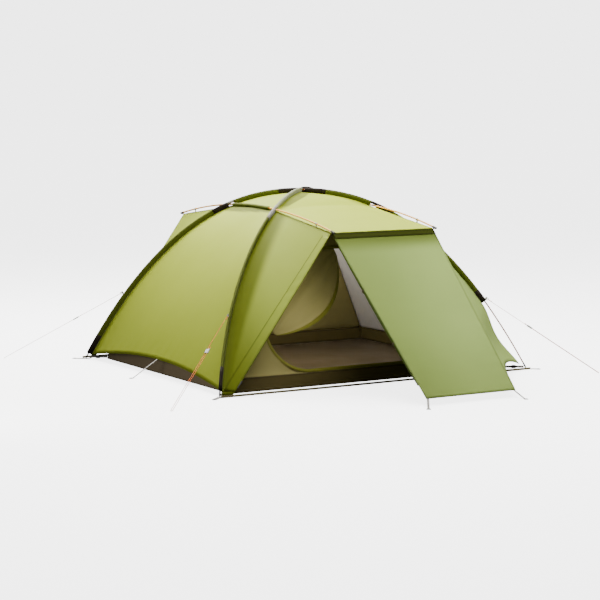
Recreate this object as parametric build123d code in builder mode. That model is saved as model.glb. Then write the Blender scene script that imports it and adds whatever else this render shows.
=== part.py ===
"""Dome tent with two vestibules, pitched on two crossed arch poles and two ridge poles.

X runs along the front from the left end to the right end, Y from the front to the back, Z up.
The ground is Z = 0 and the origin is the middle of the ground plan. All sizes are millimetres.
The back is the mirror image of the front, except that its door leaf is zipped shut.
"""

import os
from math import hypot, pi, sin, sqrt

from build123d import *

os.makedirs("parts", exist_ok=True)

LEFT, RIGHT = -1, 1
FRONT, BACK = -1, 1

# Arch poles: each leg follows height = crown * (1 - reach ** fullness) along its diagonal
CROWN_HEIGHT = 1240
HALF_LENGTH = 1220
HALF_DEPTH = 1020
FULLNESS = 2.25
LEG_BOW = 55
HUMP_SHARPNESS = 24
INSIDE_SHARE = 0.2
POLE_RADIUS = 4.75
POLE_WALL = 0.7
ARCH_SECTIONS = 10
SECTION_GAP = 0.4
FERRULE_LENGTH = 60
FERRULE_CLEARANCE = 0.45
FERRULE_WALL = 0.8
FOOT_TIP_HEIGHT = 45

# Ridge poles: shallow circular arcs that pass just under the arch poles
RIDGE_OFFSET = 400
RIDGE_REACH = 1042
RIDGE_RADIUS = 5000
RIDGE_POLE_RADIUS = 5.5
RIDGE_SECTIONS = 5
CROSSING_GAP = 0.8
RIDGE_GAP = 2.2
CAP_LENGTH = 42
CAP_RADIUS = 7.5
CAP_TAB_SHARE = 0.4

# Sleeves: a round tube of cloth with a tail down to the seam
SLEEVE_RADIUS = 11
SLEEVE_BORE = 7.6
TAIL_HALF_WIDTH = 2
SEAM_DROP = 26
SEAM_GAP = 0.5
SLEEVE_BREAK = 38
SLEEVE_LENGTH = 400
OPEN_SLEEVE_END = 466
CORNER_DRAW_IN = 42
RIDGE_SLEEVE_RADIUS = 8.6
RIDGE_SLEEVE_BORE = 6.1
RIDGE_TAIL_GAP = 2.0
RIDGE_SLEEVE_START = 85
RIDGE_SLEEVE_STOP = 36
PATCH_THICKNESS = 1.6
FOOT_PATCH = 0.42
CROSSING_PATCH = 0.3
CROWN_PATCH = 0.35
OPEN_END_PATCH = 0.25

# Fly cloth. Hem rises are shares of a panel's height
CLOTH = 2.0
EDGE = 1.9
FLAT_EDGE = 0.7
HEM_HEIGHT = 45
TOP_TRIM = 0.996
SIDE_TOP_DROP = 12
SIDE_SAG = (10, 22)
SAG_START = 0.15
END_HEM_RISE = 0.032
END_SAG = 38
AWNING_SAG = 14
AWNING_CROWN = 24
DOOR_LEFT_X = -265
DOOR_RIGHT_X = 425
DOOR_REACH = 1953
DOOR_HEM_HEIGHT = 44
DOOR_SAG = 18
DOOR_EDGE = 1.5
WING_SAG = 58
WING_HEM_RISE = 0.05
ZIP_FOOT_X = -1118
ZIP_FOOT_Y = 1036
ZIP_FOOT_Z = 30
FLAP_WIDTH = 72
FLAP_GAP = 0.9
FLAP_EDGE = 3.5
FLAP_START = 0.05
FLAP_STOP = 0.94
HEM_BAND_GAP = 0.5
ZIP_RADIUS = 2.4
ZIP_OFFSET = 1.5
SLIDER_LENGTH = 22
SLIDER_WIDTH = 10
SLIDER_HEIGHT = 4
SLIDER_GAP = 0.6
SLIDER_SHIFT = 4.1
PULL_LENGTH = 42
PULL_WIDTH = 6.6
LEAF_ROLL_RADIUS = 24
LEAF_ROLL_END_RADIUS = 12
LEAF_ROLL_GAP = 2.7
LEAF_ROLL_STATIONS = (0.05, 0.25, 0.5, 0.75, 0.93)
LEAF_TIES = (0.34, 0.66)
LEAF_TOP = 0.95
LEAF_HINGE_GAP = 0.25
HEM_BAND_START = 0.962
ZIP_START = 0.03
ZIP_STOP = 0.95
SLIDER_SHARE = 0.03

# Inner tent
FLOOR_HALF_LENGTH = 1090
FLOOR_HALF_DEPTH = 930
FLOOR_THICKNESS = 3
TUB_HEIGHT = 95
TUB_LEAN = 12
INNER_TOP = 1055
INNER_TOP_HALF = 375
INNER_GAP = 0.6
WALL_GAP = 0.2
DOORWAY_HALF_WIDTH = 730
DOORWAY_SILL = 20
DOORWAY_CORNER = 250
DOORWAY_SHOULDER = (520, 690)
DOORWAY_TOP = 880
DOOR_CLEARANCE = 1.0
DOOR_FOLDS = 2.5
FOLD_DEPTH = 15
LIMP_EDGE_PULL = (-90, 250)
LIMP_EDGE_TOP = -30
LIMP_TOP_DROP = 18
LIMP_START = 0.05
LIMP_STOP = 0.96
LIMP_CLEARANCE = 2.7
LIMP_FALL = 14
LIMP_ROWS = 13
SEWN_FOLD_SHARE = 0.4
LIMP_ZIP = 0.94
LIMP_ZIP_GAP = 0.004
HANGER_START = 8.9
HANGER_STOP = 1.6
HANGER_INSET = 8
CORNER_STRAP_HEIGHT = 16
CORNER_STRAP_CLEAR = 7.1
CORNER_STRAP_SEAT = 3.8
BUCKLE_LENGTH = 30
BUCKLE_FRAME = (8, 6)
BUCKLE_CORNER = 2

# Ground fittings and guys
TAB_THICKNESS = 3
TAB_WIDTH = 30
TAB_REACH = 105
TAB_HEEL = 22
EYELET_RADIUS = 6
EYELET_RIM = 4
EYELET_HEIGHT = 4.4
EYELET_REACH = 88
PIN_RADIUS = 3.4
PIN_EYELET_RADIUS = 4
TIP_RADIUS = 5.6
TIP_END_HEIGHT = 14
TAB_RIM = 5
STRAP_START = 1.0
STRAP_LANDING = 2
DOOR_LOOP_INSET = 12
DOOR_PEG_REACH = 2064
DOOR_PEG_SHIFT = 58
HEM_PEG_REACH = 1348
BASE_STRAP_Y = 1052
BASE_STRAP_REACH = 1229
CLIP_Y = 855
CLIP_LENGTH = 14
CLIP_WALL = 2
WEBBING = 1.6
WEBBING_WIDTH = 15
FIT_GAP = 0.4
GUY_HEIGHT = 520
GUY_RADIUS = 1.5
GUY_PEG_LEFT = (1720, 1325)
GUY_PEG_RIGHT = (1515, 1440)
GUY_PEG_RADIUS = 4.7
GUY_TURN_RADIUS = 3.7
GUY_TAIL = 24
RUNNER_LENGTH = 40
RUNNER_WIDTH = 25
RUNNER_HEIGHT = 8
RUNNER_BORE = 1.9
RUNNER_SHARE = 0.38
KNOT_RADIUS = 4
GUY_TAB_BACK = 24
GUY_TAB_RIM = 1.4
GUY_TAB_HOLE = 5
GUY_TAB_WIDTH = 18
GUY_TAB_SEAT = 0.25
GUY_TAB_THICKNESS = 2.4
GUY_TAB_CORNER = 2

DIAGONAL = hypot(HALF_LENGTH, HALF_DEPTH)
UP = Vector(0, 0, 1)


def arch_point(over, s):
    """Centre line of an arch pole, s from -1 at its left foot over 0 at the crown to 1.

    The over pole runs from the front left foot to the back right foot and humps over the other.
    """
    reach = abs(s)
    end = RIGHT if s > 0 else LEFT
    side = end if over else -end
    height = CROWN_HEIGHT * (1 - reach**FULLNESS)
    share = height / CROWN_HEIGHT
    bow = LEG_BOW * 4 * share * (1 - share)
    hump = (2 * POLE_RADIUS + CROSSING_GAP) * (1 - reach**2) ** HUMP_SHARPNESS if over else 0
    x = end * (HALF_LENGTH * reach + bow * HALF_DEPTH / DIAGONAL)
    y = side * (HALF_DEPTH * reach - bow * HALF_LENGTH / DIAGONAL)
    return Vector(x, y, height + hump)


def arch_tangent(over, s, step=0.002):
    """Unit direction of the arch pole toward its right foot."""
    return (arch_point(over, s + step) - arch_point(over, s - step)).normalized()


def arch_inward(over, s):
    """Unit direction across the pole, toward the inside of the tent."""
    tangent = arch_tangent(over, s)
    inside = Vector(0, 0, CROWN_HEIGHT * INSIDE_SHARE) - arch_point(over, s)
    return (inside - tangent * inside.dot(tangent)).normalized()


def station_at_height(height):
    """Reach along a leg at which the pole is this high."""
    return (1 - height / CROWN_HEIGHT) ** (1 / FULLNESS)


def equal_stations(curve, start, end, count, steps=300):
    """Parameters that cut a curve into pieces of equal length."""
    params = [start + (end - start) * i / steps for i in range(steps + 1)]
    lengths = [0.0]
    for before, after in zip(params, params[1:]):
        lengths.append(lengths[-1] + (curve(after) - curve(before)).length)
    stations = [start]
    for k in range(1, count):
        goal = lengths[-1] * k / count
        i = next(n for n, length in enumerate(lengths) if length >= goal)
        share = (goal - lengths[i - 1]) / (lengths[i] - lengths[i - 1])
        stations.append(params[i - 1] + (params[i] - params[i - 1]) * share)
    return stations + [end]


def crossing_station():
    """Reach at which a leg stands over a ridge pole, found by halving."""
    low, high = 0.1, 0.9
    for _ in range(50):
        middle = (low + high) / 2
        if arch_point(False, middle).X > RIDGE_OFFSET:
            high = middle
        else:
            low = middle
    return low


CROSSING = crossing_station()
CROSSING_Y = abs(arch_point(False, CROSSING).Y)
CROSSING_Z = arch_point(False, CROSSING).Z - POLE_RADIUS - RIDGE_POLE_RADIUS - RIDGE_GAP
RIDGE_TOP = CROSSING_Z + RIDGE_RADIUS - sqrt(RIDGE_RADIUS**2 - CROSSING_Y**2)
FOOT = station_at_height(FOOT_TIP_HEIGHT)
HEM = station_at_height(HEM_HEIGHT)
SLEEVE_END = station_at_height(OPEN_SLEEVE_END)
RIDGE_DROP = SEAM_DROP - POLE_RADIUS - RIDGE_POLE_RADIUS - RIDGE_GAP


def ridge_point(end, y):
    """Centre line of a ridge pole."""
    return Vector(end * RIDGE_OFFSET, y, RIDGE_TOP - RIDGE_RADIUS + sqrt(RIDGE_RADIUS**2 - y**2))


def ridge_along(end, y, step=5):
    """Unit direction of a ridge pole toward the back."""
    return (ridge_point(end, y + step) - ridge_point(end, y - step)).normalized()


def ridge_seam(end, y):
    """Cloth seam under a ridge pole, which sags between the crossing and the pole's end."""
    overhang = max(0, abs(y) - CROSSING_Y) / (RIDGE_REACH - CROSSING_Y)
    return ridge_point(end, y) - UP * (RIDGE_DROP + AWNING_SAG * sin(pi * overhang))


def leg_point(end, side, reach):
    """Centre line of the arch leg at one corner of the tent."""
    return arch_point(end == side, end * reach)


def leg_seam(end, side, reach):
    """Cloth seam inside a leg. Below the open sleeves on the right it is drawn in from the pole."""
    drop = SEAM_DROP
    if end == RIGHT and reach > SLEEVE_END:
        drop += CORNER_DRAW_IN * sin(pi * (reach - SLEEVE_END) / (1 - SLEEVE_END)) ** 2
    return leg_point(end, side, reach) + arch_inward(end == side, end * reach) * drop


def between(start, end):
    """Straight edge as a function of a share from 0 to 1."""
    return lambda share: start + (end - start) * share


def leg_edge(end, side, low, high):
    """Leg seam as a function of a share from 0 at the low end to 1."""
    return lambda share: leg_seam(end, side, low + (high - low) * share)


def cloth_face(
    left, right, bulge, rise=0, strip=None, low=0.0, high=1.0, shift=Vector(), edge=EDGE, rows=9, cols=9
):
    """Surface of a cloth panel between two edges that run up from its hem.

    bulge gives the offset of the middle at each height, rise arches the hem, strip keeps only that
    width beside the right edge, low and high keep part of the height, shift moves it bodily.
    """
    grid = []
    for i in range(cols):
        column = []
        for j in range(rows):
            across = i / (cols - 1)
            hem = max(low, rise * 4 * across * (1 - across))
            share = hem + (high - hem) * j / (rows - 1)
            width = (right(share) - left(share)).length
            margin = edge if strip is None else max(edge, width - strip)
            u = (margin + across * (width - margin - edge)) / width
            place = left(share) + (right(share) - left(share)) * u
            column.append(place + bulge(share) * (4 * u * (1 - u)) + shift)
        grid.append(column)
    return Face.make_surface_from_array_of_points(grid, tol=0.05, min_deg=3, max_deg=5)


def tube(start, middle, end, radius, bore=0.0):
    """Round tube along the arc through three points, joined to the part being built."""
    with BuildLine() as path:
        ThreePointArc(start, middle, end)
    with BuildSketch(Plane(origin=path.line @ 0, z_dir=path.line % 0)) as ring:
        Circle(radius)
        if bore:
            Circle(bore, mode=Mode.SUBTRACT)
    sweep(sections=ring.sketch, path=path.line)


def sleeve(start, middle, end, radius, bore, tail):
    """Sleeve length along an arc: a round tube whose tail points to the inside of the bend."""
    with BuildLine() as path:
        ThreePointArc(start, middle, end)
    tangent = path.line % 0
    outward = middle - (start + end) / 2
    outward = (outward - tangent * outward.dot(tangent)).normalized()
    with BuildSketch(Plane(origin=start, x_dir=outward.cross(tangent), z_dir=tangent)) as teardrop:
        Circle(radius)
        with Locations((0, 1 - tail)):
            Rectangle(2 * TAIL_HALF_WIDTH, 2)
        make_hull()
        Circle(bore, mode=Mode.SUBTRACT)
    sweep(sections=teardrop.sketch, path=path.line)


def sections(curve, stations, radius, bore):
    """Pole sections between stations, a hair apart where they butt."""
    for a, b in zip(stations, stations[1:]):
        trim = SECTION_GAP / 2 / (curve(b) - curve(a)).length * (b - a)
        tube(curve(a + trim), curve((a + b) / 2), curve(b - trim), radius, bore)


def bar(start, end, width, thickness, side_dir):
    """Flat straight strap from start to end, its width along side_dir."""
    along = (end - start).normalized()
    across = (side_dir - along * side_dir.dot(along)).normalized()
    with BuildSketch(Plane(origin=start, x_dir=across, z_dir=along)) as profile:
        Rectangle(width, thickness)
    extrude(profile.sketch, amount=(end - start).length)


# Arch pole sections, each arch cut into equal lengths
ARCH_A = lambda s: arch_point(False, s)
ARCH_B = lambda s: arch_point(True, s)
STATIONS_A = equal_stations(ARCH_A, -FOOT, FOOT, ARCH_SECTIONS)
STATIONS_B = equal_stations(ARCH_B, -FOOT, FOOT, ARCH_SECTIONS)
with BuildPart() as arch_pole_a:
    sections(ARCH_A, STATIONS_A, POLE_RADIUS, POLE_RADIUS - POLE_WALL)
arch_pole_a.part.label = "arch_pole_a"
export_step(arch_pole_a.part, "parts/arch_pole_a.step")

with BuildPart() as arch_pole_b:
    sections(ARCH_B, STATIONS_B, POLE_RADIUS, POLE_RADIUS - POLE_WALL)
arch_pole_b.part.label = "arch_pole_b"
export_step(arch_pole_b.part, "parts/arch_pole_b.step")

# Ridge pole sections
RIDGES = {end: (lambda y, end=end: ridge_point(end, y)) for end in (LEFT, RIGHT)}
STATIONS_RIDGE = equal_stations(RIDGES[LEFT], -RIDGE_REACH, RIDGE_REACH, RIDGE_SECTIONS)
with BuildPart() as ridge_poles:
    for end in (LEFT, RIGHT):
        sections(RIDGES[end], STATIONS_RIDGE, RIDGE_POLE_RADIUS, RIDGE_POLE_RADIUS - POLE_WALL)
ridge_poles.part.label = "ridge_poles"
export_step(ridge_poles.part, "parts/ridge_poles.step")


def ferrule(curve, station, radius):
    """Hollow ferrule inside the joint of two sections, bent with the pole."""
    step = 1e-4
    speed = (curve(station + step) - curve(station - step)).length / (2 * step)
    reach = FERRULE_LENGTH / 2 / speed
    tube(curve(station - reach), curve(station), curve(station + reach), radius, radius - FERRULE_WALL)


with BuildPart() as pole_ferrules:
    for curve, stations in ((ARCH_A, STATIONS_A), (ARCH_B, STATIONS_B)):
        for station in stations[1:-1]:
            ferrule(curve, station, POLE_RADIUS - POLE_WALL - FERRULE_CLEARANCE)
    for end in (LEFT, RIGHT):
        for station in STATIONS_RIDGE[1:-1]:
            ferrule(RIDGES[end], station, RIDGE_POLE_RADIUS - POLE_WALL - FERRULE_CLEARANCE)
pole_ferrules.part.label = "pole_ferrules"
export_step(pole_ferrules.part, "parts/pole_ferrules.step")

# Sleeves on the arches, open where poles cross and below the open ends on the right
def sleeve_arcs(over, start, end):
    """Three points of each length of sleeve between two stations of an arch."""
    curve = ARCH_B if over else ARCH_A
    count = max(1, round((curve(end) - curve(start)).length / SLEEVE_LENGTH))
    stations = equal_stations(curve, start, end, count)
    arcs = []
    for a, b in zip(stations, stations[1:]):
        trim = SECTION_GAP / 2 / (curve(b) - curve(a)).length * (b - a)
        arcs.append((curve(a + trim), curve((a + b) / 2), curve(b - trim)))
    return arcs


BREAK = SLEEVE_BREAK / DIAGONAL
SLEEVE_RUNS = (
    (-FOOT + BREAK / 2, -CROSSING - BREAK),
    (-CROSSING + BREAK, -BREAK),
    (BREAK, CROSSING - BREAK),
    (CROSSING + BREAK, SLEEVE_END),
)
ARCH_TAIL = SEAM_DROP - CLOTH / 2 - SEAM_GAP
for over, name in ((False, "arch_sleeve_a"), (True, "arch_sleeve_b")):
    with BuildPart() as arch_sleeve:
        for run in SLEEVE_RUNS:
            for arc in sleeve_arcs(over, *run):
                sleeve(*arc, SLEEVE_RADIUS, SLEEVE_BORE, ARCH_TAIL)
    arch_sleeve.part.label = name
    export_step(arch_sleeve.part, f"parts/{name}.step")


def patch(arc, start, end):
    """Dark reinforcement saddled over part of a sleeve length, between two shares of its arc."""
    with BuildLine() as whole:
        ThreePointArc(*arc)
    points = [whole.line @ share for share in (start, (start + end) / 2, end)]
    with BuildLine() as path:
        ThreePointArc(*points)
    tangent = path.line % 0
    outward = arc[1] - (arc[0] + arc[2]) / 2
    outward = (outward - tangent * outward.dot(tangent)).normalized()
    inner = SLEEVE_RADIUS + FIT_GAP
    with BuildSketch(Plane(origin=points[0], x_dir=outward.cross(tangent), z_dir=tangent)) as saddle:
        Circle(inner + PATCH_THICKNESS)
        Circle(inner, mode=Mode.SUBTRACT)
        with Locations((0, -inner)):
            Rectangle(4 * inner, 2 * inner, mode=Mode.SUBTRACT)
    sweep(sections=saddle.sketch, path=path.line)


with BuildPart() as sleeve_patches:
    for over in (False, True):
        runs = [sleeve_arcs(over, *run) for run in SLEEVE_RUNS]
        patch(runs[0][0], 0.0, FOOT_PATCH)
        patch(runs[0][-1], 1 - CROSSING_PATCH, 1.0)
        patch(runs[1][-1], 1 - CROWN_PATCH, 1.0)
        patch(runs[2][0], 0.0, CROWN_PATCH)
        patch(runs[3][0], 0.0, CROSSING_PATCH)
        patch(runs[3][-1], 1 - OPEN_END_PATCH, 1.0)
sleeve_patches.part.label = "sleeve_patches"
export_step(sleeve_patches.part, "parts/sleeve_patches.step")

with BuildPart() as ridge_sleeves:
    for end in (LEFT, RIGHT):
        front, back = RIDGE_SLEEVE_START - CROSSING_Y, CROSSING_Y - RIDGE_SLEEVE_STOP
        for start, stop in ((front, 0), (SECTION_GAP, back)):
            arc = [ridge_point(end, y) for y in (start, (start + stop) / 2, stop)]
            sleeve(*arc, RIDGE_SLEEVE_RADIUS, RIDGE_SLEEVE_BORE, RIDGE_DROP - CLOTH / 2 - RIDGE_TAIL_GAP)
ridge_sleeves.part.label = "ridge_sleeves"
export_step(ridge_sleeves.part, "parts/ridge_sleeves.step")

# Fly end panels between the two legs of an end, under the ridge
def end_bulge(end):
    """Inward draw of an end panel, and the rise of its top edge along the ridge seam."""
    top = ridge_seam(end, 0) - (leg_seam(end, FRONT, CROSSING) + leg_seam(end, BACK, CROSSING)) / 2
    return lambda share: Vector(-end * END_SAG * sin(pi * share), 0, 0) + top * share**6


for end, name in ((LEFT, "fly_left_end"), (RIGHT, "fly_right_end")):
    with BuildPart() as fly_end:
        legs = [leg_edge(end, side, HEM, CROSSING + EDGE / DIAGONAL) for side in (BACK, FRONT)]
        thicken(cloth_face(*legs, end_bulge(end), rise=END_HEM_RISE), amount=CLOTH / 2, both=True)
    fly_end.part.label = name
    export_step(fly_end.part, f"parts/{name}.step")

# Roof triangles between a ridge and the crown
LOW_ROOF = CROSSING - FLAT_EDGE / DIAGONAL
for end, name in ((LEFT, "fly_roof_left"), (RIGHT, "fly_roof_right")):
    with BuildPart() as fly_roof:
        legs = [leg_edge(end, side, LOW_ROOF, BREAK) for side in (BACK, FRONT)]
        top = ridge_seam(end, 0) - (legs[0](0) + legs[1](0)) / 2
        triangle = cloth_face(*legs, lambda share: top * (1 - share) ** 2, edge=FLAT_EDGE)
        thicken(triangle, amount=CLOTH / 2, both=True)
    fly_roof.part.label = name
    export_step(fly_roof.part, f"parts/{name}.step")


# Front and back roofs: a triangle below the crown and an awning out to the ridge pole ends
def awning_edge(end, side):
    """Ridge seam of an awning as a function of a share from 0 at its outer corner to 1 at the crossing."""
    reach = RIDGE_REACH - CROSSING_Y - FLAT_EDGE
    return lambda share: ridge_seam(end, side * (RIDGE_REACH - EDGE - (reach - EDGE) * share))


for side, name in ((FRONT, "fly_roof_front"), (BACK, "fly_roof_back")):
    with BuildPart() as fly_roof:
        legs = [leg_edge(end, side, LOW_ROOF, BREAK) for end in (LEFT, RIGHT)]
        triangle = cloth_face(*legs, lambda share: UP * AWNING_CROWN * (1 - share) ** 2, edge=FLAT_EDGE)
        thicken(triangle, amount=CLOTH / 2, both=True)
        ridges = [awning_edge(end, side) for end in (LEFT, RIGHT)]
        awning = cloth_face(*ridges, lambda share: UP * AWNING_CROWN * share**2)
        thicken(awning, amount=CLOTH / 2, both=True)
    fly_roof.part.label = name
    export_step(fly_roof.part, f"parts/{name}.step")


def awning_corner(end, side):
    """Outer corner of an awning, under the end of a ridge pole."""
    return ridge_seam(end, side * RIDGE_REACH)


def door_corner(end, side):
    """Lower corner of a door panel, just off the ground."""
    return Vector(DOOR_LEFT_X if end == LEFT else DOOR_RIGHT_X, side * DOOR_REACH, DOOR_HEM_HEIGHT)


def zip_foot(side):
    """Lower end of a fly zip, beside the left foot."""
    return Vector(ZIP_FOOT_X, side * ZIP_FOOT_Y, ZIP_FOOT_Z)


def zip_away(side):
    """Level direction from a zip edge away from its side panel."""
    return Vector(1, side, 0).normalized()


SIDE_TOP = CROSSING + SIDE_TOP_DROP / DIAGONAL


def seam_bulge(end, side, draw):
    """Bulge of a side panel whose top edge follows the sagging ridge seam."""
    middle = ridge_seam(end, side * (CROSSING_Y + RIDGE_REACH) / 2)
    top = middle - (leg_seam(end, side, SIDE_TOP) + awning_corner(end, side)) / 2
    return lambda share: draw * sin(pi * (SAG_START + (1 - SAG_START) * share)) + top * share**4


def side_panel(side):
    """Edges and bulge of the narrow panel from a left leg to the zip."""
    edges = leg_edge(LEFT, side, HEM, SIDE_TOP), between(zip_foot(side), awning_corner(LEFT, side))
    return *edges, seam_bulge(LEFT, side, Vector(SIDE_SAG[0], -side * SIDE_SAG[1], 0))


def wing_panel(side):
    """Edges and bulge of the wide panel from the door to a right leg."""
    door = between(door_corner(RIGHT, side), awning_corner(RIGHT, side))
    inward = Vector(-1, -side, 0).normalized() * WING_SAG
    return door, leg_edge(RIGHT, side, HEM, SIDE_TOP), seam_bulge(RIGHT, side, inward)


def door_panel(side):
    """Edges and bulge of the panel that slopes from the awning to the ground."""
    edges = [between(door_corner(end, side), awning_corner(end, side)) for end in (LEFT, RIGHT)]
    return *edges, lambda share: Vector(0, -side * DOOR_SAG, -DOOR_SAG) * sin(pi * share)


def leaf_panel(side):
    """Edges and bulge of the closed leaf between a zip and the door panel."""
    top = awning_corner(LEFT, side)
    clear = zip_away(side) * (ZIP_OFFSET + SLIDER_SHIFT + SLIDER_WIDTH / 2 + EDGE)
    edges = between(zip_foot(side) + clear, top + clear), between(door_corner(LEFT, side), top)
    return *edges, lambda share: Vector(DOOR_SAG, -side * DOOR_SAG, 0) * sin(pi * share)


for side, place in ((FRONT, "front"), (BACK, "back")):
    with BuildPart() as fly_side:
        thicken(cloth_face(*side_panel(side), high=TOP_TRIM), amount=CLOTH / 2, both=True)
    fly_side.part.label = f"{place}_left_side"
    export_step(fly_side.part, f"parts/{place}_left_side.step")

    with BuildPart() as fly_wing:
        thicken(cloth_face(*wing_panel(side), rise=WING_HEM_RISE, high=TOP_TRIM), amount=CLOTH / 2, both=True)
    fly_wing.part.label = f"{place}_right_side"
    export_step(fly_wing.part, f"parts/{place}_right_side.step")

    with BuildPart() as fly_door:
        thicken(cloth_face(*door_panel(side), high=TOP_TRIM, edge=DOOR_EDGE), amount=CLOTH / 2, both=True)
    fly_door.part.label = f"{place}_door"
    export_step(fly_door.part, f"parts/{place}_door.step")

with BuildPart() as back_leaf:
    thicken(cloth_face(*leaf_panel(BACK), high=LEAF_TOP, edge=LEAF_HINGE_GAP), amount=CLOTH / 2, both=True)
back_leaf.part.label = "back_leaf"
export_step(back_leaf.part, "parts/back_leaf.step")


def round_bar(start, end, radius, bore=0.0):
    """Straight round bar or tube between two points."""
    with BuildSketch(Plane(origin=start, z_dir=(end - start).normalized())) as ring:
        Circle(radius)
        if bore:
            Circle(bore, mode=Mode.SUBTRACT)
    extrude(ring.sketch, amount=(end - start).length)


# Awning hems: bands that lie on the top of the door panels
with BuildPart() as awning_hems:
    for side in (FRONT, BACK):
        outward = Vector(0, side, 1).normalized() * (CLOTH + HEM_BAND_GAP)
        band = cloth_face(*door_panel(side), low=HEM_BAND_START, high=TOP_TRIM, shift=outward, rows=4)
        thicken(band, amount=CLOTH / 2, both=True)
awning_hems.part.label = "awning_hems"
export_step(awning_hems.part, "parts/awning_hems.step")

# Storm flap over the front zip, and the zip coils along both zip edges
SIDE_NORMAL = Vector(-0.6, -0.75, 0.28).normalized()
with BuildPart() as storm_flap:
    lift = SIDE_NORMAL * (CLOTH + FLAP_GAP)
    reach = dict(strip=FLAP_WIDTH, low=FLAP_START, high=FLAP_STOP, edge=FLAP_EDGE)
    flap = cloth_face(*side_panel(FRONT), **reach, shift=lift, cols=5)
    thicken(flap, amount=CLOTH / 2, both=True)
storm_flap.part.label = "storm_flap"
export_step(storm_flap.part, "parts/storm_flap.step")


def zip_point(side, share):
    """Centre line of a zip coil."""
    edge = between(zip_foot(side), awning_corner(LEFT, side))
    return edge(share) + zip_away(side) * ZIP_OFFSET


with BuildPart() as fly_zips:
    for side in (FRONT, BACK):
        round_bar(zip_point(side, ZIP_START), zip_point(side, ZIP_STOP), ZIP_RADIUS)
fly_zips.part.label = "fly_zips"
export_step(fly_zips.part, "parts/fly_zips.step")

def leaf_normal(side):
    """Direction out of the tent, square to the plane of a closed leaf."""
    foot = zip_foot(side)
    level = door_corner(LEFT, side) - foot
    return (level.cross(awning_corner(LEFT, side) - foot) * -side).normalized()


for side, name in ((FRONT, "front_zip_slider"), (BACK, "back_zip_slider")):
    along = (zip_point(side, 1) - zip_point(side, 0)).normalized()
    outward = leaf_normal(side)
    across = along.cross(outward) * -side
    seat = zip_point(side, ZIP_START + SLIDER_SHARE) + outward * (ZIP_RADIUS + SLIDER_GAP)
    with BuildPart() as slider:
        with BuildSketch(Plane(origin=seat + across * SLIDER_SHIFT, x_dir=along, z_dir=outward)):
            RectangleRounded(SLIDER_LENGTH, SLIDER_WIDTH, SLIDER_WIDTH / 3)
        extrude(amount=SLIDER_HEIGHT)
        pull = seat + across * SLIDER_SHIFT + outward * SLIDER_HEIGHT
        with BuildSketch(Plane(origin=pull, x_dir=along, z_dir=outward)):
            with Locations((-PULL_LENGTH / 2, 0)):
                SlotOverall(PULL_LENGTH, PULL_WIDTH)
        extrude(amount=CLOTH)
    slider.part.label = name
    export_step(slider.part, f"parts/{name}.step")

# Front leaf, rolled up and tied behind the left edge of the front door panel
LEAF_INSIDE = Vector(0.1, 0.7, -0.7).normalized() * (LEAF_ROLL_RADIUS + LEAF_ROLL_GAP)
LEAF_EDGE = between(door_corner(LEFT, FRONT) + LEAF_INSIDE, awning_corner(LEFT, FRONT) + LEAF_INSIDE)
LEAF_AXIS = (LEAF_EDGE(1) - LEAF_EDGE(0)).normalized()


def leaf_radius(share):
    """Radius of the rolled leaf, slender at both ends."""
    return LEAF_ROLL_END_RADIUS + (LEAF_ROLL_RADIUS - LEAF_ROLL_END_RADIUS) * sin(pi * share)


with BuildPart() as front_leaf_roll:
    for share in LEAF_ROLL_STATIONS:
        with BuildSketch(Plane(origin=LEAF_EDGE(share), z_dir=LEAF_AXIS)):
            Circle(leaf_radius(share))
    loft()
front_leaf_roll.part.label = "front_leaf_roll"
export_step(front_leaf_roll.part, "parts/front_leaf_roll.step")

with BuildPart() as leaf_ties:
    for share in LEAF_TIES:
        half = LEAF_AXIS * (WEBBING_WIDTH / 2)
        bore = leaf_radius(share) + FIT_GAP
        round_bar(LEAF_EDGE(share) - half, LEAF_EDGE(share) + half, bore + WEBBING, bore)
leaf_ties.part.label = "leaf_ties"
export_step(leaf_ties.part, "parts/leaf_ties.step")

# Corner tabs flat on the ground, with an eyelet for the pole's pin and one for a peg
CORNERS = [(end, side) for end in (LEFT, RIGHT) for side in (FRONT, BACK)]


def corner_direction(end, side):
    """Level direction outward along the diagonal of a corner."""
    return Vector(end * HALF_LENGTH, side * HALF_DEPTH, 0).normalized()


def leg_down(end, side):
    """Direction of a leg toward the ground at its foot."""
    return (leg_point(end, side, FOOT) - leg_point(end, side, FOOT - 0.01)).normalized()


def tip_end(end, side):
    """Lower end of a foot tip, where its pin goes on straight down."""
    down = leg_down(end, side)
    return leg_point(end, side, FOOT) + down * ((FOOT_TIP_HEIGHT - TIP_END_HEIGHT) / -down.Z)


def pin_foot(end, side):
    """Point on the ground under a pin."""
    place = tip_end(end, side)
    return Vector(place.X, place.Y, 0)


with BuildPart() as arch_pole_tips:
    for end, side in CORNERS:
        top = leg_point(end, side, FOOT) + leg_down(end, side) * FIT_GAP
        round_bar(top, tip_end(end, side), TIP_RADIUS)
        with Locations(tip_end(end, side)):
            Sphere(TIP_RADIUS)
        round_bar(pin_foot(end, side), tip_end(end, side), PIN_RADIUS)
arch_pole_tips.part.label = "arch_pole_tips"
export_step(arch_pole_tips.part, "parts/arch_pole_tips.step")


def tab_plane(end, side):
    """Ground plane at a pin, its x axis outward."""
    return Plane(origin=pin_foot(end, side), x_dir=corner_direction(end, side), z_dir=UP)


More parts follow.
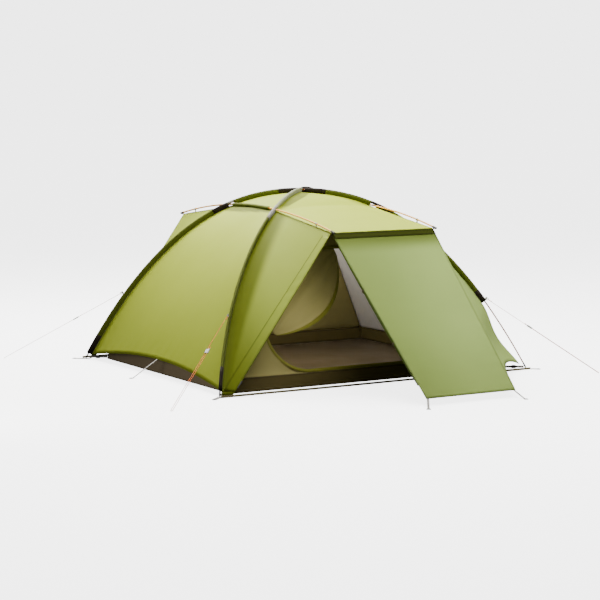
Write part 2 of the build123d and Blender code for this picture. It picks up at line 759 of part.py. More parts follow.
with BuildPart() as corner_tabs:
    for end, side in CORNERS:
        with BuildSketch(tab_plane(end, side)) as tab:
            with Locations(((TAB_REACH - TAB_HEEL) / 2, 0)):
                RectangleRounded(TAB_REACH + TAB_HEEL, TAB_WIDTH, TAB_WIDTH / 3)
            Circle(PIN_EYELET_RADIUS + EYELET_RIM + FIT_GAP, mode=Mode.SUBTRACT)
            with Locations((EYELET_REACH, 0)):
                Circle(EYELET_RADIUS + EYELET_RIM + FIT_GAP, mode=Mode.SUBTRACT)
        extrude(amount=TAB_THICKNESS)
corner_tabs.part.label = "corner_tabs"
export_step(corner_tabs.part, "parts/corner_tabs.step")

# Loops on the ground: straps from the door corners and the end hems to a flat ring for a peg
def end_hem_middle(end):
    """Middle of an end panel's arched hem."""
    legs = [leg_edge(end, side, HEM, CROSSING + EDGE / DIAGONAL) for side in (BACK, FRONT)]
    return (legs[0](END_HEM_RISE) + legs[1](END_HEM_RISE)) / 2 + end_bulge(end)(END_HEM_RISE)


DOOR_PEGS = {
    (end, side): Vector(door_corner(end, side).X + shift, side * DOOR_PEG_REACH, 0)
    for side in (FRONT, BACK)
    for end, shift in ((LEFT, -DOOR_PEG_SHIFT), (RIGHT, 0))
}
HEM_PEGS = {end: Vector(end * HEM_PEG_REACH, 0, 0) for end in (LEFT, RIGHT)}


def peg_loop(start, peg):
    """Strap from a hem down to the ground and on to a flat ring round a peg's place."""
    level = (peg - start) - UP * (peg - start).Z
    landing = peg - level.normalized() * (EYELET_RADIUS + EYELET_RIM + STRAP_LANDING) + UP * TAB_THICKNESS / 2
    start = start + (landing - start).normalized() * STRAP_START
    bar(start, landing, WEBBING_WIDTH, WEBBING, UP.cross(level))
    with BuildSketch(Plane(origin=peg, z_dir=UP)) as ring:
        Circle(EYELET_RADIUS + EYELET_RIM + TAB_RIM)
    extrude(ring.sketch, amount=TAB_THICKNESS)
    with BuildSketch(Plane(origin=peg, z_dir=UP)) as hole:
        Circle(EYELET_RADIUS + EYELET_RIM + FIT_GAP)
    extrude(hole.sketch, amount=2 * TAB_THICKNESS, both=True, mode=Mode.SUBTRACT)


with BuildPart() as door_loops:
    for (end, side), peg in DOOR_PEGS.items():
        peg_loop(door_corner(end, side) - Vector(end * DOOR_LOOP_INSET, 0, 0), peg)
door_loops.part.label = "door_loops"
export_step(door_loops.part, "parts/door_loops.step")

with BuildPart() as hem_ties:
    for end, peg in HEM_PEGS.items():
        peg_loop(end_hem_middle(end), peg)
hem_ties.part.label = "hem_ties"
export_step(hem_ties.part, "parts/hem_ties.step")

CORNER_PEGS = [pin_foot(end, side) + corner_direction(end, side) * EYELET_REACH for end, side in CORNERS]
PEGS = CORNER_PEGS + list(DOOR_PEGS.values()) + list(HEM_PEGS.values())
with BuildPart() as eyelets:
    for peg in PEGS:
        round_bar(peg, peg + UP * EYELET_HEIGHT, EYELET_RADIUS + EYELET_RIM, EYELET_RADIUS)
    for end, side in CORNERS:
        pin = pin_foot(end, side)
        round_bar(pin, pin + UP * EYELET_HEIGHT, PIN_EYELET_RADIUS + EYELET_RIM, PIN_EYELET_RADIUS)
eyelets.part.label = "eyelets"
export_step(eyelets.part, "parts/eyelets.step")

# Base straps along the front and the back, from tab to tab
with BuildPart() as base_straps:
    for side in (FRONT, BACK):
        ends = [Vector(end * BASE_STRAP_REACH, side * BASE_STRAP_Y, WEBBING / 2) for end in (LEFT, RIGHT)]
        bar(*ends, WEBBING_WIDTH, WEBBING, Vector(0, 1, 0))
base_straps.part.label = "base_straps"
export_step(base_straps.part, "parts/base_straps.step")


# Inner tent: floor, leaning tub walls, four leaning walls and a flat roof
def plate(corners, thickness):
    """Flat cloth between coplanar corners, half its thickness on each side."""
    extrude(Face(Wire.make_polygon(corners, close=True)), amount=thickness / 2, both=True)


with BuildPart() as inner_floor:
    with BuildSketch():
        Rectangle(2 * FLOOR_HALF_LENGTH, 2 * FLOOR_HALF_DEPTH)
    extrude(amount=FLOOR_THICKNESS)
inner_floor.part.label = "inner_floor"
export_step(inner_floor.part, "parts/inner_floor.step")

SIDES = {
    "front": Vector(0, FRONT, 0),
    "back": Vector(0, BACK, 0),
    "left": Vector(LEFT, 0, 0),
    "right": Vector(RIGHT, 0, 0),
}


def ring_corner(outward, turn, half_length, half_depth, height, inset):
    """Corner of a level rectangle, at the end of the side that faces outward."""
    along = Vector(-outward.Y, outward.X, 0)
    reach, half = (half_length, half_depth) if outward.X else (half_depth, half_length)
    return outward * reach + along * turn * (half - inset) + UP * height


with BuildPart() as tub_walls:
    for outward in SIDES.values():
        low = FLOOR_HALF_LENGTH - CLOTH, FLOOR_HALF_DEPTH - CLOTH, FLOOR_THICKNESS + INNER_GAP
        high = low[0] - TUB_LEAN, low[1] - TUB_LEAN, TUB_HEIGHT
        corners = [ring_corner(outward, turn, *low, EDGE) for turn in (-1, 1)]
        corners += [ring_corner(outward, turn, *high, EDGE) for turn in (1, -1)]
        plate(corners, CLOTH)
tub_walls.part.label = "tub_walls"
export_step(tub_walls.part, "parts/tub_walls.step")

WALL_FOOT = (
    FLOOR_HALF_LENGTH - CLOTH - TUB_LEAN,
    FLOOR_HALF_DEPTH - CLOTH - TUB_LEAN,
    TUB_HEIGHT + CLOTH / 2 + WALL_GAP,
)
WALL_HEAD = (INNER_TOP_HALF, INNER_TOP_HALF, INNER_TOP)


def wall_plane(outward):
    """Plane of an inner wall, its origin at the middle of the wall's foot and its y axis up the wall."""
    foot = (ring_corner(outward, -1, *WALL_FOOT, 0) + ring_corner(outward, 1, *WALL_FOOT, 0)) / 2
    head = (ring_corner(outward, -1, *WALL_HEAD, 0) + ring_corner(outward, 1, *WALL_HEAD, 0)) / 2
    along = Vector(-outward.Y, outward.X, 0)
    return Plane(origin=foot, x_dir=along, z_dir=along.cross(head - foot))


def wall_corners(outward):
    """Corners of an inner wall, short of its neighbours."""
    corners = [ring_corner(outward, turn, *WALL_FOOT, EDGE) for turn in (-1, 1)]
    return corners + [ring_corner(outward, turn, *WALL_HEAD, EDGE) for turn in (1, -1)]


def doorway(plane, margin):
    """D-shaped outline in the plane of a wall, smaller all round by the margin."""
    half, sill, top = DOORWAY_HALF_WIDTH - margin, DOORWAY_SILL + margin, DOORWAY_TOP - margin
    corner = DOORWAY_CORNER - margin
    shoulder = DOORWAY_SHOULDER[0] - margin, DOORWAY_SHOULDER[1] - margin
    with BuildSketch(plane) as outline:
        with BuildLine():
            Line((corner - half, sill), (half - corner, sill))
            RadiusArc((half - corner, sill), (half, sill + corner), -corner)
            ThreePointArc((half, sill + corner), shoulder, (0, top))
            ThreePointArc((0, top), (-shoulder[0], shoulder[1]), (-half, sill + corner))
            RadiusArc((-half, sill + corner), (corner - half, sill), -corner)
        make_face()
    return outline.sketch


for place, outward in SIDES.items():
    with BuildPart() as inner_wall:
        plate(wall_corners(outward), CLOTH)
        if outward.Y:
            extrude(doorway(wall_plane(outward), 0), amount=4 * CLOTH, both=True, mode=Mode.SUBTRACT)
    inner_wall.part.label = f"inner_{place}_wall"
    export_step(inner_wall.part, f"parts/inner_{place}_wall.step")

with BuildPart() as inner_back_door:
    extrude(doorway(wall_plane(SIDES["back"]), DOOR_CLEARANCE), amount=CLOTH / 2, both=True)
inner_back_door.part.label = "inner_back_door"
export_step(inner_back_door.part, "parts/inner_back_door.step")

with BuildPart() as inner_roof:
    with BuildSketch(Plane.XY.offset(INNER_TOP + CLOTH / 2)):
        Rectangle(2 * INNER_TOP_HALF, 2 * INNER_TOP_HALF)
    extrude(amount=CLOTH)
inner_roof.part.label = "inner_roof"
export_step(inner_roof.part, "parts/inner_roof.step")

# Front inner door, hanging limp and open from the upper left of its doorway
FRONT_WALL = wall_plane(SIDES["front"])


def limp_door_face(start, stop, cols):
    """Surface of the limp door between two shares of its width, from its sewn edge to its free edge.

    The sewn edge follows the upper left of the doorway, the free edge a curve below it. Across the
    width the cloth waves in and out of the wall's plane, more toward the free edge.
    """
    shoulder, corner = DOORWAY_SHOULDER, (-DOORWAY_HALF_WIDTH, DOORWAY_SILL + DOORWAY_CORNER)
    with BuildLine() as sewn:
        ThreePointArc(corner, (-shoulder[0], shoulder[1]), (0, DOORWAY_TOP))
    with BuildLine() as free:
        Bezier(corner, LIMP_EDGE_PULL, (LIMP_EDGE_TOP, DOORWAY_TOP - LIMP_TOP_DROP))
    grid = []
    for i in range(cols):
        share = start + (stop - start) * i / (cols - 1)
        column = []
        for j in range(LIMP_ROWS):
            up = LIMP_START + (LIMP_STOP - LIMP_START) * j / (LIMP_ROWS - 1)
            place = (sewn.line @ up) * (1 - share) + (free.line @ up) * share
            looseness = SEWN_FOLD_SHARE + (1 - SEWN_FOLD_SHARE) * share
            wave = FOLD_DEPTH * sin(2 * pi * DOOR_FOLDS * share) * sin(pi * up) * looseness
            fall = FOLD_DEPTH * (1 - (1 - share) ** 4) + LIMP_FALL * share * sin(pi * up)
            out = LIMP_CLEARANCE + fall + wave
            column.append(FRONT_WALL.from_local_coords(Vector(place.X, place.Y, out)))
        grid.append(column)
    return Face.make_surface_from_array_of_points(grid, tol=0.05, min_deg=3, max_deg=5)


with BuildPart() as inner_door:
    thicken(limp_door_face(0.0, LIMP_ZIP - LIMP_ZIP_GAP, 21), amount=CLOTH / 2, both=True)
inner_door.part.label = "inner_door"
export_step(inner_door.part, "parts/inner_door.step")

with BuildPart() as inner_door_zip:
    thicken(limp_door_face(LIMP_ZIP, 1.0, 4), amount=CLOTH / 2, both=True)
inner_door_zip.part.label = "inner_door_zip"
export_step(inner_door_zip.part, "parts/inner_door_zip.step")

# Straps that hang the inner tent from the crossings, and straps with buckles at the tub's corners
with BuildPart() as inner_hangers:
    for end, side in CORNERS:
        inset = INNER_TOP_HALF - HANGER_INSET
        low = Vector(end * inset, side * inset, INNER_TOP + HANGER_START)
        high = leg_seam(end, side, CROSSING) - UP * HANGER_STOP
        bar(low, high, WEBBING_WIDTH, WEBBING, Vector(-side, end, 0))
inner_hangers.part.label = "inner_hangers"
export_step(inner_hangers.part, "parts/inner_hangers.step")


def corner_strap_ends(end, side):
    """Ends of the strap from a tub corner to the foot tip."""
    tub = Vector(end * FLOOR_HALF_LENGTH, side * FLOOR_HALF_DEPTH, CORNER_STRAP_HEIGHT)
    outward = corner_direction(end, side)
    foot = pin_foot(end, side) + UP * CORNER_STRAP_HEIGHT - outward * (TIP_RADIUS + CORNER_STRAP_CLEAR)
    return tub - outward * CORNER_STRAP_SEAT, foot


with BuildPart() as corner_straps:
    for end, side in CORNERS:
        bar(*corner_strap_ends(end, side), WEBBING_WIDTH, WEBBING, UP)
corner_straps.part.label = "corner_straps"
export_step(corner_straps.part, "parts/corner_straps.step")

with BuildPart() as corner_buckles:
    for end, side in CORNERS:
        tub, foot = corner_strap_ends(end, side)
        along = (foot - tub).normalized()
        middle = (tub + foot) / 2 - along * (BUCKLE_LENGTH / 2)
        with BuildSketch(Plane(origin=middle, x_dir=UP, z_dir=along)) as frame:
            RectangleRounded(WEBBING_WIDTH + BUCKLE_FRAME[0], WEBBING + BUCKLE_FRAME[1], BUCKLE_CORNER)
            Rectangle(WEBBING_WIDTH + 2 * FIT_GAP, WEBBING + 2 * FIT_GAP, mode=Mode.SUBTRACT)
        extrude(frame.sketch, amount=BUCKLE_LENGTH)
corner_buckles.part.label = "corner_buckles"
export_step(corner_buckles.part, "parts/corner_buckles.step")

# Caps on the ridge pole ends with a tab down to the awning's corner, and clips along the overhang
with BuildPart() as ridge_pole_caps:
    for end, side in CORNERS:
        tip = ridge_point(end, side * RIDGE_REACH)
        along = ridge_along(end, side * RIDGE_REACH) * side
        round_bar(tip + along * FIT_GAP, tip + along * CAP_LENGTH, CAP_RADIUS)
        tab = tip + along * (CAP_LENGTH * CAP_TAB_SHARE)
        bar(tab, tab - UP * (RIDGE_DROP - CLOTH / 2 - FIT_GAP), WEBBING_WIDTH, WEBBING, Vector(1, 0, 0))
ridge_pole_caps.part.label = "ridge_pole_caps"
export_step(ridge_pole_caps.part, "parts/ridge_pole_caps.step")

with BuildPart() as ridge_clips:
    for end, side in CORNERS:
        y = side * CLIP_Y
        centre = ridge_point(end, y)
        along = ridge_along(end, y)
        half = along * (CLIP_LENGTH / 2)
        bore = RIDGE_POLE_RADIUS + FIT_GAP
        round_bar(centre - half, centre + half, bore + CLIP_WALL, bore)
        seam = ridge_seam(end, y) + UP * (CLOTH / 2 + FIT_GAP)
        bar(centre - UP * (bore + CLIP_WALL / 2), seam, CLIP_LENGTH, WEBBING, along)
ridge_clips.part.label = "ridge_clips"
export_step(ridge_clips.part, "parts/ridge_clips.step")


# Guy lines: each runs from a tab on its leg to a peg and doubles back to its runner
GUY_GAUGE = 2 * (GUY_PEG_RADIUS + GUY_RADIUS)


def guy_plane(end, side):
    """Plane of a guy line: origin at its turn round the tab's rim, x axis down the line."""
    leg = leg_point(end, side, station_at_height(GUY_HEIGHT))
    reach = GUY_PEG_LEFT if end == LEFT else GUY_PEG_RIGHT
    peg = Vector(end * reach[0], side * reach[1], GUY_GAUGE / 2 + GUY_RADIUS)
    along = (peg - leg).normalized()
    cover = FIT_GAP + PATCH_THICKNESS if end == RIGHT else 0
    tilt = abs(along.dot(arch_tangent(end == side, end * station_at_height(GUY_HEIGHT))))
    level = sqrt(1 - tilt**2)
    seat = (SLEEVE_RADIUS + cover + GUY_TAB_WIDTH / 2 * tilt) / level - GUY_TAB_SEAT
    start = leg + along * (seat + GUY_TAB_BACK) - UP.cross(along).normalized() * GUY_TURN_RADIUS
    return Plane(origin=start, x_dir=along, z_dir=along.cross(UP.cross(along))), (peg - start).length


GUY_NAMES = {
    (LEFT, FRONT): "front_left",
    (RIGHT, FRONT): "front_right",
    (LEFT, BACK): "back_left",
    (RIGHT, BACK): "back_right",
}
for (end, side), place in GUY_NAMES.items():
    plane, length = guy_plane(end, side)
    runner_at = length * RUNNER_SHARE
    turn = 2 * GUY_TURN_RADIUS
    with BuildPart() as guy_line:
        with BuildLine(plane) as route:
            Line((GUY_TAIL, turn), (0, turn))
            ThreePointArc((0, turn), (-GUY_TURN_RADIUS, GUY_TURN_RADIUS), (0, 0))
            Line((0, 0), (length, 0))
            ThreePointArc((length, 0), (length + GUY_GAUGE / 2, GUY_GAUGE / 2), (length, GUY_GAUGE))
            Line((length, GUY_GAUGE), (runner_at - RUNNER_LENGTH, GUY_GAUGE))
        with BuildSketch(Plane(origin=route.line @ 0, z_dir=route.line % 0)):
            Circle(GUY_RADIUS)
        sweep()
        with Locations(route.line @ 0, route.line @ 1):
            Sphere(KNOT_RADIUS)
    guy_line.part.label = f"guy_line_{place}"
    export_step(guy_line.part, f"parts/guy_line_{place}.step")

    with BuildPart() as guy_runner:
        seat = Plane(
            origin=plane.from_local_coords(Vector(runner_at - RUNNER_LENGTH / 2, GUY_GAUGE / 2, 0)),
            x_dir=plane.y_dir,
            z_dir=plane.x_dir,
        )
        with BuildSketch(seat):
            RectangleRounded(RUNNER_WIDTH, RUNNER_HEIGHT, RUNNER_HEIGHT / 3)
            with GridLocations(GUY_GAUGE, 1, 2, 1):
                Circle(RUNNER_BORE, mode=Mode.SUBTRACT)
        extrude(amount=RUNNER_LENGTH)
    guy_runner.part.label = f"guy_runner_{place}"
    export_step(guy_runner.part, f"parts/guy_runner_{place}.step")

with BuildPart() as guy_tabs:
    for end, side in CORNERS:
        plane, length = guy_plane(end, side)
        centre = plane.from_local_coords(Vector(0, GUY_TURN_RADIUS, 0))
        with BuildSketch(Plane(origin=centre, x_dir=plane.x_dir, z_dir=plane.y_dir)) as tab:
            with Locations((GUY_TAB_RIM / 2 - GUY_TAB_BACK / 2, 0)):
                RectangleRounded(GUY_TAB_BACK + GUY_TAB_RIM, GUY_TAB_WIDTH, GUY_TAB_CORNER)
            with Locations((-GUY_TAB_RIM / 2 - GUY_TAB_HOLE, 0)):
                Circle(GUY_TAB_HOLE, mode=Mode.SUBTRACT)
        extrude(tab.sketch, amount=GUY_TAB_THICKNESS / 2, both=True)
guy_tabs.part.label = "guy_tabs"
export_step(guy_tabs.part, "parts/guy_tabs.step")
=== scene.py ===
"""Looks of a dome tent with two vestibules: its cloth, webbing, zips, cords, finishes, light and camera.

Lengths are metres in the frame of the part: X along the front, Y from the front to the back, Z up.
Poles, tips, caps, clips, buckles, eyelets, sliders and runners keep their own solids and get finishes.
"""

import math

import bmesh
import bpy
import numpy as np
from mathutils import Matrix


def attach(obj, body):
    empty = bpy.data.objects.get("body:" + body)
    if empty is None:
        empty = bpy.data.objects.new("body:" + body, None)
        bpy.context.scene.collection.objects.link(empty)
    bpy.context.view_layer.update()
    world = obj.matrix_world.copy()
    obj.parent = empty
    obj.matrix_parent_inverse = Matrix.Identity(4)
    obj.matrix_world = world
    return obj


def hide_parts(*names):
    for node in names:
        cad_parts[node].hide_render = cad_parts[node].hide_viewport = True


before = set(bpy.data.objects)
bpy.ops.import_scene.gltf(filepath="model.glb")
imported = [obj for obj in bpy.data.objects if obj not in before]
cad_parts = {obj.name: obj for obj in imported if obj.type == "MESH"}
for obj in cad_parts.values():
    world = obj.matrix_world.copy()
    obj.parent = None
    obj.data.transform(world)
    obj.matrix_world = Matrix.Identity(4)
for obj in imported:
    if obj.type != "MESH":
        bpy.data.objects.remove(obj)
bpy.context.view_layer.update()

LEFT, RIGHT = -1, 1
FRONT, BACK = -1, 1
UP = np.array([0.0, 0.0, 1.0])
CORNERS = [(end, side) for end in (LEFT, RIGHT) for side in (FRONT, BACK)]
SIDES = {"front": (0, -1), "back": (0, 1), "left": (-1, 0), "right": (1, 0)}

# Poles
CROWN_HEIGHT = 1.240
HALF_LENGTH = 1.220
HALF_DEPTH = 1.020
DIAGONAL = math.hypot(HALF_LENGTH, HALF_DEPTH)
FULLNESS = 2.25
LEG_BOW = 0.055
HUMP_SHARPNESS = 24
INSIDE_SHARE = 0.2
POLE_RADIUS = 0.00475
CROSSING_GAP = 0.0008
RIDGE_OFFSET = 0.400
RIDGE_REACH = 1.042
RIDGE_RADIUS = 5.0
RIDGE_POLE_RADIUS = 0.0055
RIDGE_GAP = 0.0022
FOOT_TIP_HEIGHT = 0.045
TIP_END_HEIGHT = 0.014

# Sleeves
SLEEVE_RADIUS = 0.0122
SLIM_SLEEVE_RADIUS = 0.0088
SLEEVE_TAIL = 0.0242
TAIL_HALF_WIDTH = 0.002
SEAM_DROP = 0.0236
SLEEVE_BREAK = 0.038
RIDGE_BREAK = 0.020
CROWN_BREAK = 0.018
OPEN_SLEEVE_END = 0.466
CORNER_DRAW_IN = 0.042
RIDGE_SLEEVE_RADIUS = 0.0102
RIDGE_SLEEVE_TAIL = 0.0127
RIDGE_SLEEVE_START = 0.085
RIDGE_SLEEVE_STOP = 0.036
PATCH_LIFT = 0.0012
FOOT_PATCH = 0.165
CROSSING_PATCH = 0.120
CROWN_PATCH = 0.150
OPEN_END_PATCH = 0.095
SLEEVE_THICKNESS = 0.0008
PATCH_THICKNESS = 0.0009
SLEEVE_SWELL = 0.02
SLEEVE_STEP = 0.014
SADDLE_LAP = 0.15

# Fly panels
HEM_HEIGHT = 0.045
END_HEM_RISE = 0.047
END_SAG = 0.038
AWNING_SAG = 0.014
AWNING_CROWN = 0.024
DOOR_LEFT_X = -0.265
DOOR_RIGHT_X = 0.425
DOOR_REACH = 1.953
DOOR_HEM_HEIGHT = 0.044
DOOR_SAG = 0.018
WING_SAG = 0.058
WING_HEM_RISE = 0.05
SIDE_DRAW = 0.010, 0.022
ZIP_FOOT = -1.118, 1.036, 0.030
FLAP_WIDTH = 0.072
FLAP_LIFT = 0.0029
FLAP_START, FLAP_STOP = 0.0, 0.975
SIDE_HEM = -0.018
HEM_BAND_START = 0.962
HEM_BAND_LIFT = 0.0025
PANEL_TOP = 0.996
LEAF_TOP = 0.95
ZIP_OFFSET = 0.0015
ZIP_RADIUS = 0.0024
ZIP_START, ZIP_STOP = 0.03, 0.95
ZIP_TOP_DROP = 0.0024
LEAF_CLEARANCE = 0.0127
LEAF_ROLL_RADIUS = 0.024
LEAF_ROLL_END_RADIUS = 0.012
LEAF_ROLL_GAP = 0.008
LEAF_ROLL_SHIFT = 0.038
LEAF_TIES = 0.34, 0.66
LEAF_TURNS = 8
ROLL_START, ROLL_STOP = 0.10, 0.93
ROLL_PINCH, ROLL_PINCH_LENGTH = 0.10, 0.03
ROLL_CORE, ROLL_GROWTH, ROLL_RIPPLE = 0.12, 0.86, 0.015
ROLL_THICKNESS = 0.0004
# Painted shade of the rolled leaf, as its tone
ROLL_PAINTED_SHADE = 0.3
FLY_THICKNESS = 0.0012
SAG_START = 0.15
ROOF_PUCKER = 0.001
HEM_PUCKER = 0.0004
FLAP_PUCKER = 0.0008
TUB_PUCKER = 0.0012
ZIP_PITCH = 0.004
ZIP_SWELL = 0.16

# Waves of stretched cloth: lengths along its seams, how soon they die out inward, and the flat held edge
LEFT_WAVE, RIGHT_WAVE, HEM_WAVE = 0.085, 0.095, 0.11
SEAM_FADE, HEM_FADE = 0.05, 0.045
LONG_WAVE_SHARE = 0.8
HELD_EDGE = 0.01

# Tones of painted shade on the fly: hollows of painted shade and fades in metres from an edge, heights and
# widths as shares of the panel
END_FOOT_TONE, END_FOOT_RISE = 0.55, 0.95
END_HOLLOW, END_HOLLOW_TAPER, END_HOLLOW_FADE = 0.07, 0.045, 0.012
END_LEG_TONE, END_LEG_FADE = 0.5, 0.04
ROOF_HOLLOW, ROOF_HOLLOW_SWELL, ROOF_HOLLOW_FADE, ROOF_HOLLOW_RISE = 0.055, 0.07, 0.014, 0.04
SIDE_HOLLOW, SIDE_HOLLOW_TAPER, SIDE_HOLLOW_FADE = 0.40, 0.30, 0.18
SIDE_FOOT_START, SIDE_FOOT_RISE = -0.02, 0.62
FLAP_SEAM, FLAP_SEAM_FADE = 0.003, 0.004
DOOR_LEFT_TONE, DOOR_LEFT_START, DOOR_LEFT_FADE = 0.48, -0.05, 0.95
DOOR_FOOT_TONE, DOOR_FOOT_RISE = 0.72, 0.45
DOOR_HOLLOW, DOOR_HOLLOW_FADE = 0.05, 0.13
WING_HOLLOW, WING_HOLLOW_TAPER, WING_HOLLOW_FADE = 0.02, 0.075, 0.02

# Inner tent
FLOOR_HALF_LENGTH = 1.090
FLOOR_HALF_DEPTH = 0.930
TUB_FOOT = 0.0006
TUB_HEIGHT = 0.095
TUB_LEAN = 0.012
CLOTH = 0.002
INNER_TOP = 1.055
INNER_TOP_HALF = 0.375
DOORWAY_HALF_WIDTH = 0.730
DOORWAY_SILL = 0.020
DOORWAY_CORNER = 0.250
DOORWAY_SHOULDER = 0.520, 0.690
DOORWAY_TOP = 0.880
DOOR_FOLDS = 2.5
FOLD_DEPTH = 0.008
LIMP_EDGE_PULL = -0.090, 0.250
LIMP_EDGE_TOP = -0.030, 0.862
LIMP_START, LIMP_STOP = 0.05, 0.96
LIMP_CLEARANCE = 0.0027
LIMP_FALL = 0.014
LIMP_ZIP = 0.928
SEWN_FOLD_SHARE = 0.4
FINE_FOLD, FINE_FOLDS = 0.004, 6
INNER_THICKNESS = 0.0008
TAPE_THICKNESS = 0.0014
DOORWAY_MIDDLE = np.array([0, 0.40])
PIERCED_SAG = 0.006
END_WALL_SAG = 0.012
INNER_ROOF_SAG = 0.004
BINDING_MARGIN, BINDING_WIDTH, BINDING_LIFT = -0.008, 0.022, 0.002
BACK_DOOR_MARGIN, BACK_DOOR_LIFT = 0.004, -0.003
FLOOR_LIFT, FLOOR_WAVE = 0.0008, 0.0012
# Painted shade on the tub's front, back and right walls, as their tone
TUB_PAINTED_SHADE = 0.06

# Webbing, ground fittings and guy lines
WEBBING = 0.0016
WEBBING_WIDTH = 0.015
TAB_WIDTH = 0.030
TAB_REACH = 0.105
TAB_HEEL = 0.022
TAB_THICKNESS = 0.003
TAB_CUT, TAB_NOSE = 0.6, 0.5
TAB_SHOULDER, GUY_TAB_SHOULDER = 0.5, 0.4
PLATE_SHARE = 0.9
LOOP_LANDING = 0.0016
EYELET_REACH = 0.088
EYELET_HOLE = 0.0104
PIN_EYELET_HOLE = 0.0084
LOOP_RADIUS = 0.015
DOOR_LOOP_INSET = 0.012
DOOR_PEG_REACH = 2.064
DOOR_PEG_SHIFT = 0.058
HEM_PEG_REACH = 1.348
BASE_STRAP_Y = 1.052
BASE_STRAP_REACH = 1.229
BASE_STRAP_WAVE = 0.003
CORNER_STRAP_HEIGHT = 0.016
CORNER_STRAP_SEAT = 0.0038
CORNER_STRAP_STOP = 0.0127
HANGER_INSET = 0.008
HANGER_START = 0.0089
GUY_HEIGHT = 0.520
GUY_RADIUS = 0.0015
GUY_PEG_LEFT = 1.720, 1.325
GUY_PEG_RIGHT = 1.515, 1.440
GUY_PEG_TURN = 0.0062
GUY_TURN_RADIUS = 0.0037
GUY_TAIL = 0.024
GUY_LEAD = 0.018
GUY_TAB_BACK = 0.024
GUY_TAB_RIM = 0.0014
GUY_TAB_WIDTH = 0.018
GUY_TAB_HOLE = 0.005
GUY_TAB_SEAT = 0.00025
GUY_SEAT_RADIUS = 0.011
GUY_TAB_THICKNESS = 0.0024
PATCH_COVER = 0.002
RUNNER_LENGTH = 0.040
RUNNER_SHARE = 0.38
KNOT_SIZE = 0.0036
KNOT_CORD_SHARE = 0.8
FIT_GAP = 0.0004

# Camera at the photograph's viewing angle
CAMERA_PLACE = -7.195, -12.075, 2.059
CAMERA_YAW = 0.5363
CAMERA_PITCH = 0.1135
CAMERA_LENS = 119.6

# Light
SKY_LIGHT = 0.045
SKY_SEEN = 4.0
FLOOR_GLOW = 4.0
GROUND_HALF = 60.0
GROUND_DROP = 0.0006

# Weave, stitched edges and ribs of the finishes, and how far their tones and heights go
THREAD_SHARE = 0.14
THREAD_TONE, THREAD_STRENGTH = 0.5, 0.10
HEM_WIDTH = 0.012
STITCH_PLACE, STITCH_HALF = 0.0095, 0.0011
STITCH_TONE, STITCH_STRENGTH = 0.25, 0.5
THREAD_HEIGHT, GRAIN_HEIGHT, CREASE_HEIGHT = 0.0002, 0.0002, 0.006
GRAIN_SCALE, CREASE_SCALE = 900.0, 9.0
RIB_PITCH = 0.0016
RIB_TONE = 0.18
RIB_HEIGHT = 0.0004
MOULD_HEIGHT = 0.0005

# Painted shade of cloth in its hollows, as a share of its own red, green and blue
PAINTED_SHADE_SHARE = 0.38, 0.38, 0.16


def unit(vectors):
    """Vectors divided by their lengths."""
    return vectors / np.linalg.norm(vectors, axis=-1, keepdims=True)


def arch_point(over, s):
    """Centre line of an arch pole, s from -1 at its left foot over 0 at the crown to 1.

    The height falls as the reach to the power of the fullness, and the legs bow outward in plan.
    """
    s = np.asarray(s, float)
    reach = np.abs(s)
    end = np.where(s > 0, RIGHT, LEFT)
    side = end if over else -end
    share = 1 - reach**FULLNESS
    bow = LEG_BOW * 4 * share * (1 - share)
    hump = 0
    if over:
        hump = (2 * POLE_RADIUS + CROSSING_GAP) * np.clip(1 - reach**2, 0, 1) ** HUMP_SHARPNESS
    x = end * (HALF_LENGTH * reach + bow * HALF_DEPTH / DIAGONAL)
    y = side * (HALF_DEPTH * reach - bow * HALF_LENGTH / DIAGONAL)
    return np.stack([x, y, CROWN_HEIGHT * share + hump], axis=-1)


def arch_tangent(over, s, step=0.002):
    """Unit direction of an arch pole toward its right foot."""
    return unit(arch_point(over, s + step) - arch_point(over, s - step))


def arch_inward(over, s):
    """Unit direction across an arch pole, toward a point low on the tent's axis."""
    tangent = arch_tangent(over, s)
    inside = UP * CROWN_HEIGHT * INSIDE_SHARE - arch_point(over, s)
    return unit(inside - tangent * np.sum(inside * tangent, axis=-1, keepdims=True))


def station_at_height(height):
    """Reach along a leg at which its pole is this high."""
    return (1 - height / CROWN_HEIGHT) ** (1 / FULLNESS)


REACHES = np.linspace(0.1, 0.9, 20001)
CROSSING = float(np.interp(RIDGE_OFFSET, arch_point(False, REACHES)[:, 0], REACHES))
CROSSING_Y = abs(float(arch_point(False, CROSSING)[1]))
CROSSING_Z = float(arch_point(False, CROSSING)[2]) - POLE_RADIUS - RIDGE_POLE_RADIUS - RIDGE_GAP
RIDGE_TOP = CROSSING_Z + RIDGE_RADIUS - math.sqrt(RIDGE_RADIUS**2 - CROSSING_Y**2)
RIDGE_DROP = SEAM_DROP - POLE_RADIUS - RIDGE_POLE_RADIUS - RIDGE_GAP
FOOT = station_at_height(FOOT_TIP_HEIGHT)
HEM = station_at_height(HEM_HEIGHT)
SLEEVE_END = station_at_height(OPEN_SLEEVE_END)
BREAK = SLEEVE_BREAK / DIAGONAL
AWNING_TURN = (RIDGE_REACH - CROSSING_Y) / (RIDGE_REACH - SLEEVE_BREAK)


def ridge_point(end, y):
    """Centre line of a ridge pole, a shallow circular arc."""
    y = np.asarray(y, float)
    height = RIDGE_TOP - RIDGE_RADIUS + np.sqrt(RIDGE_RADIUS**2 - y**2)
    return np.stack([np.full_like(y, end * RIDGE_OFFSET), y, height], axis=-1)


def ridge_seam(end, y):
    """Cloth seam under a ridge pole, sagging as a half sine between the crossing and the pole's end."""
    overhang = np.clip(np.abs(y) - CROSSING_Y, 0, None) / (RIDGE_REACH - CROSSING_Y)
    return ridge_point(end, y) - (RIDGE_DROP + AWNING_SAG * np.sin(math.pi * overhang))[..., None] * UP


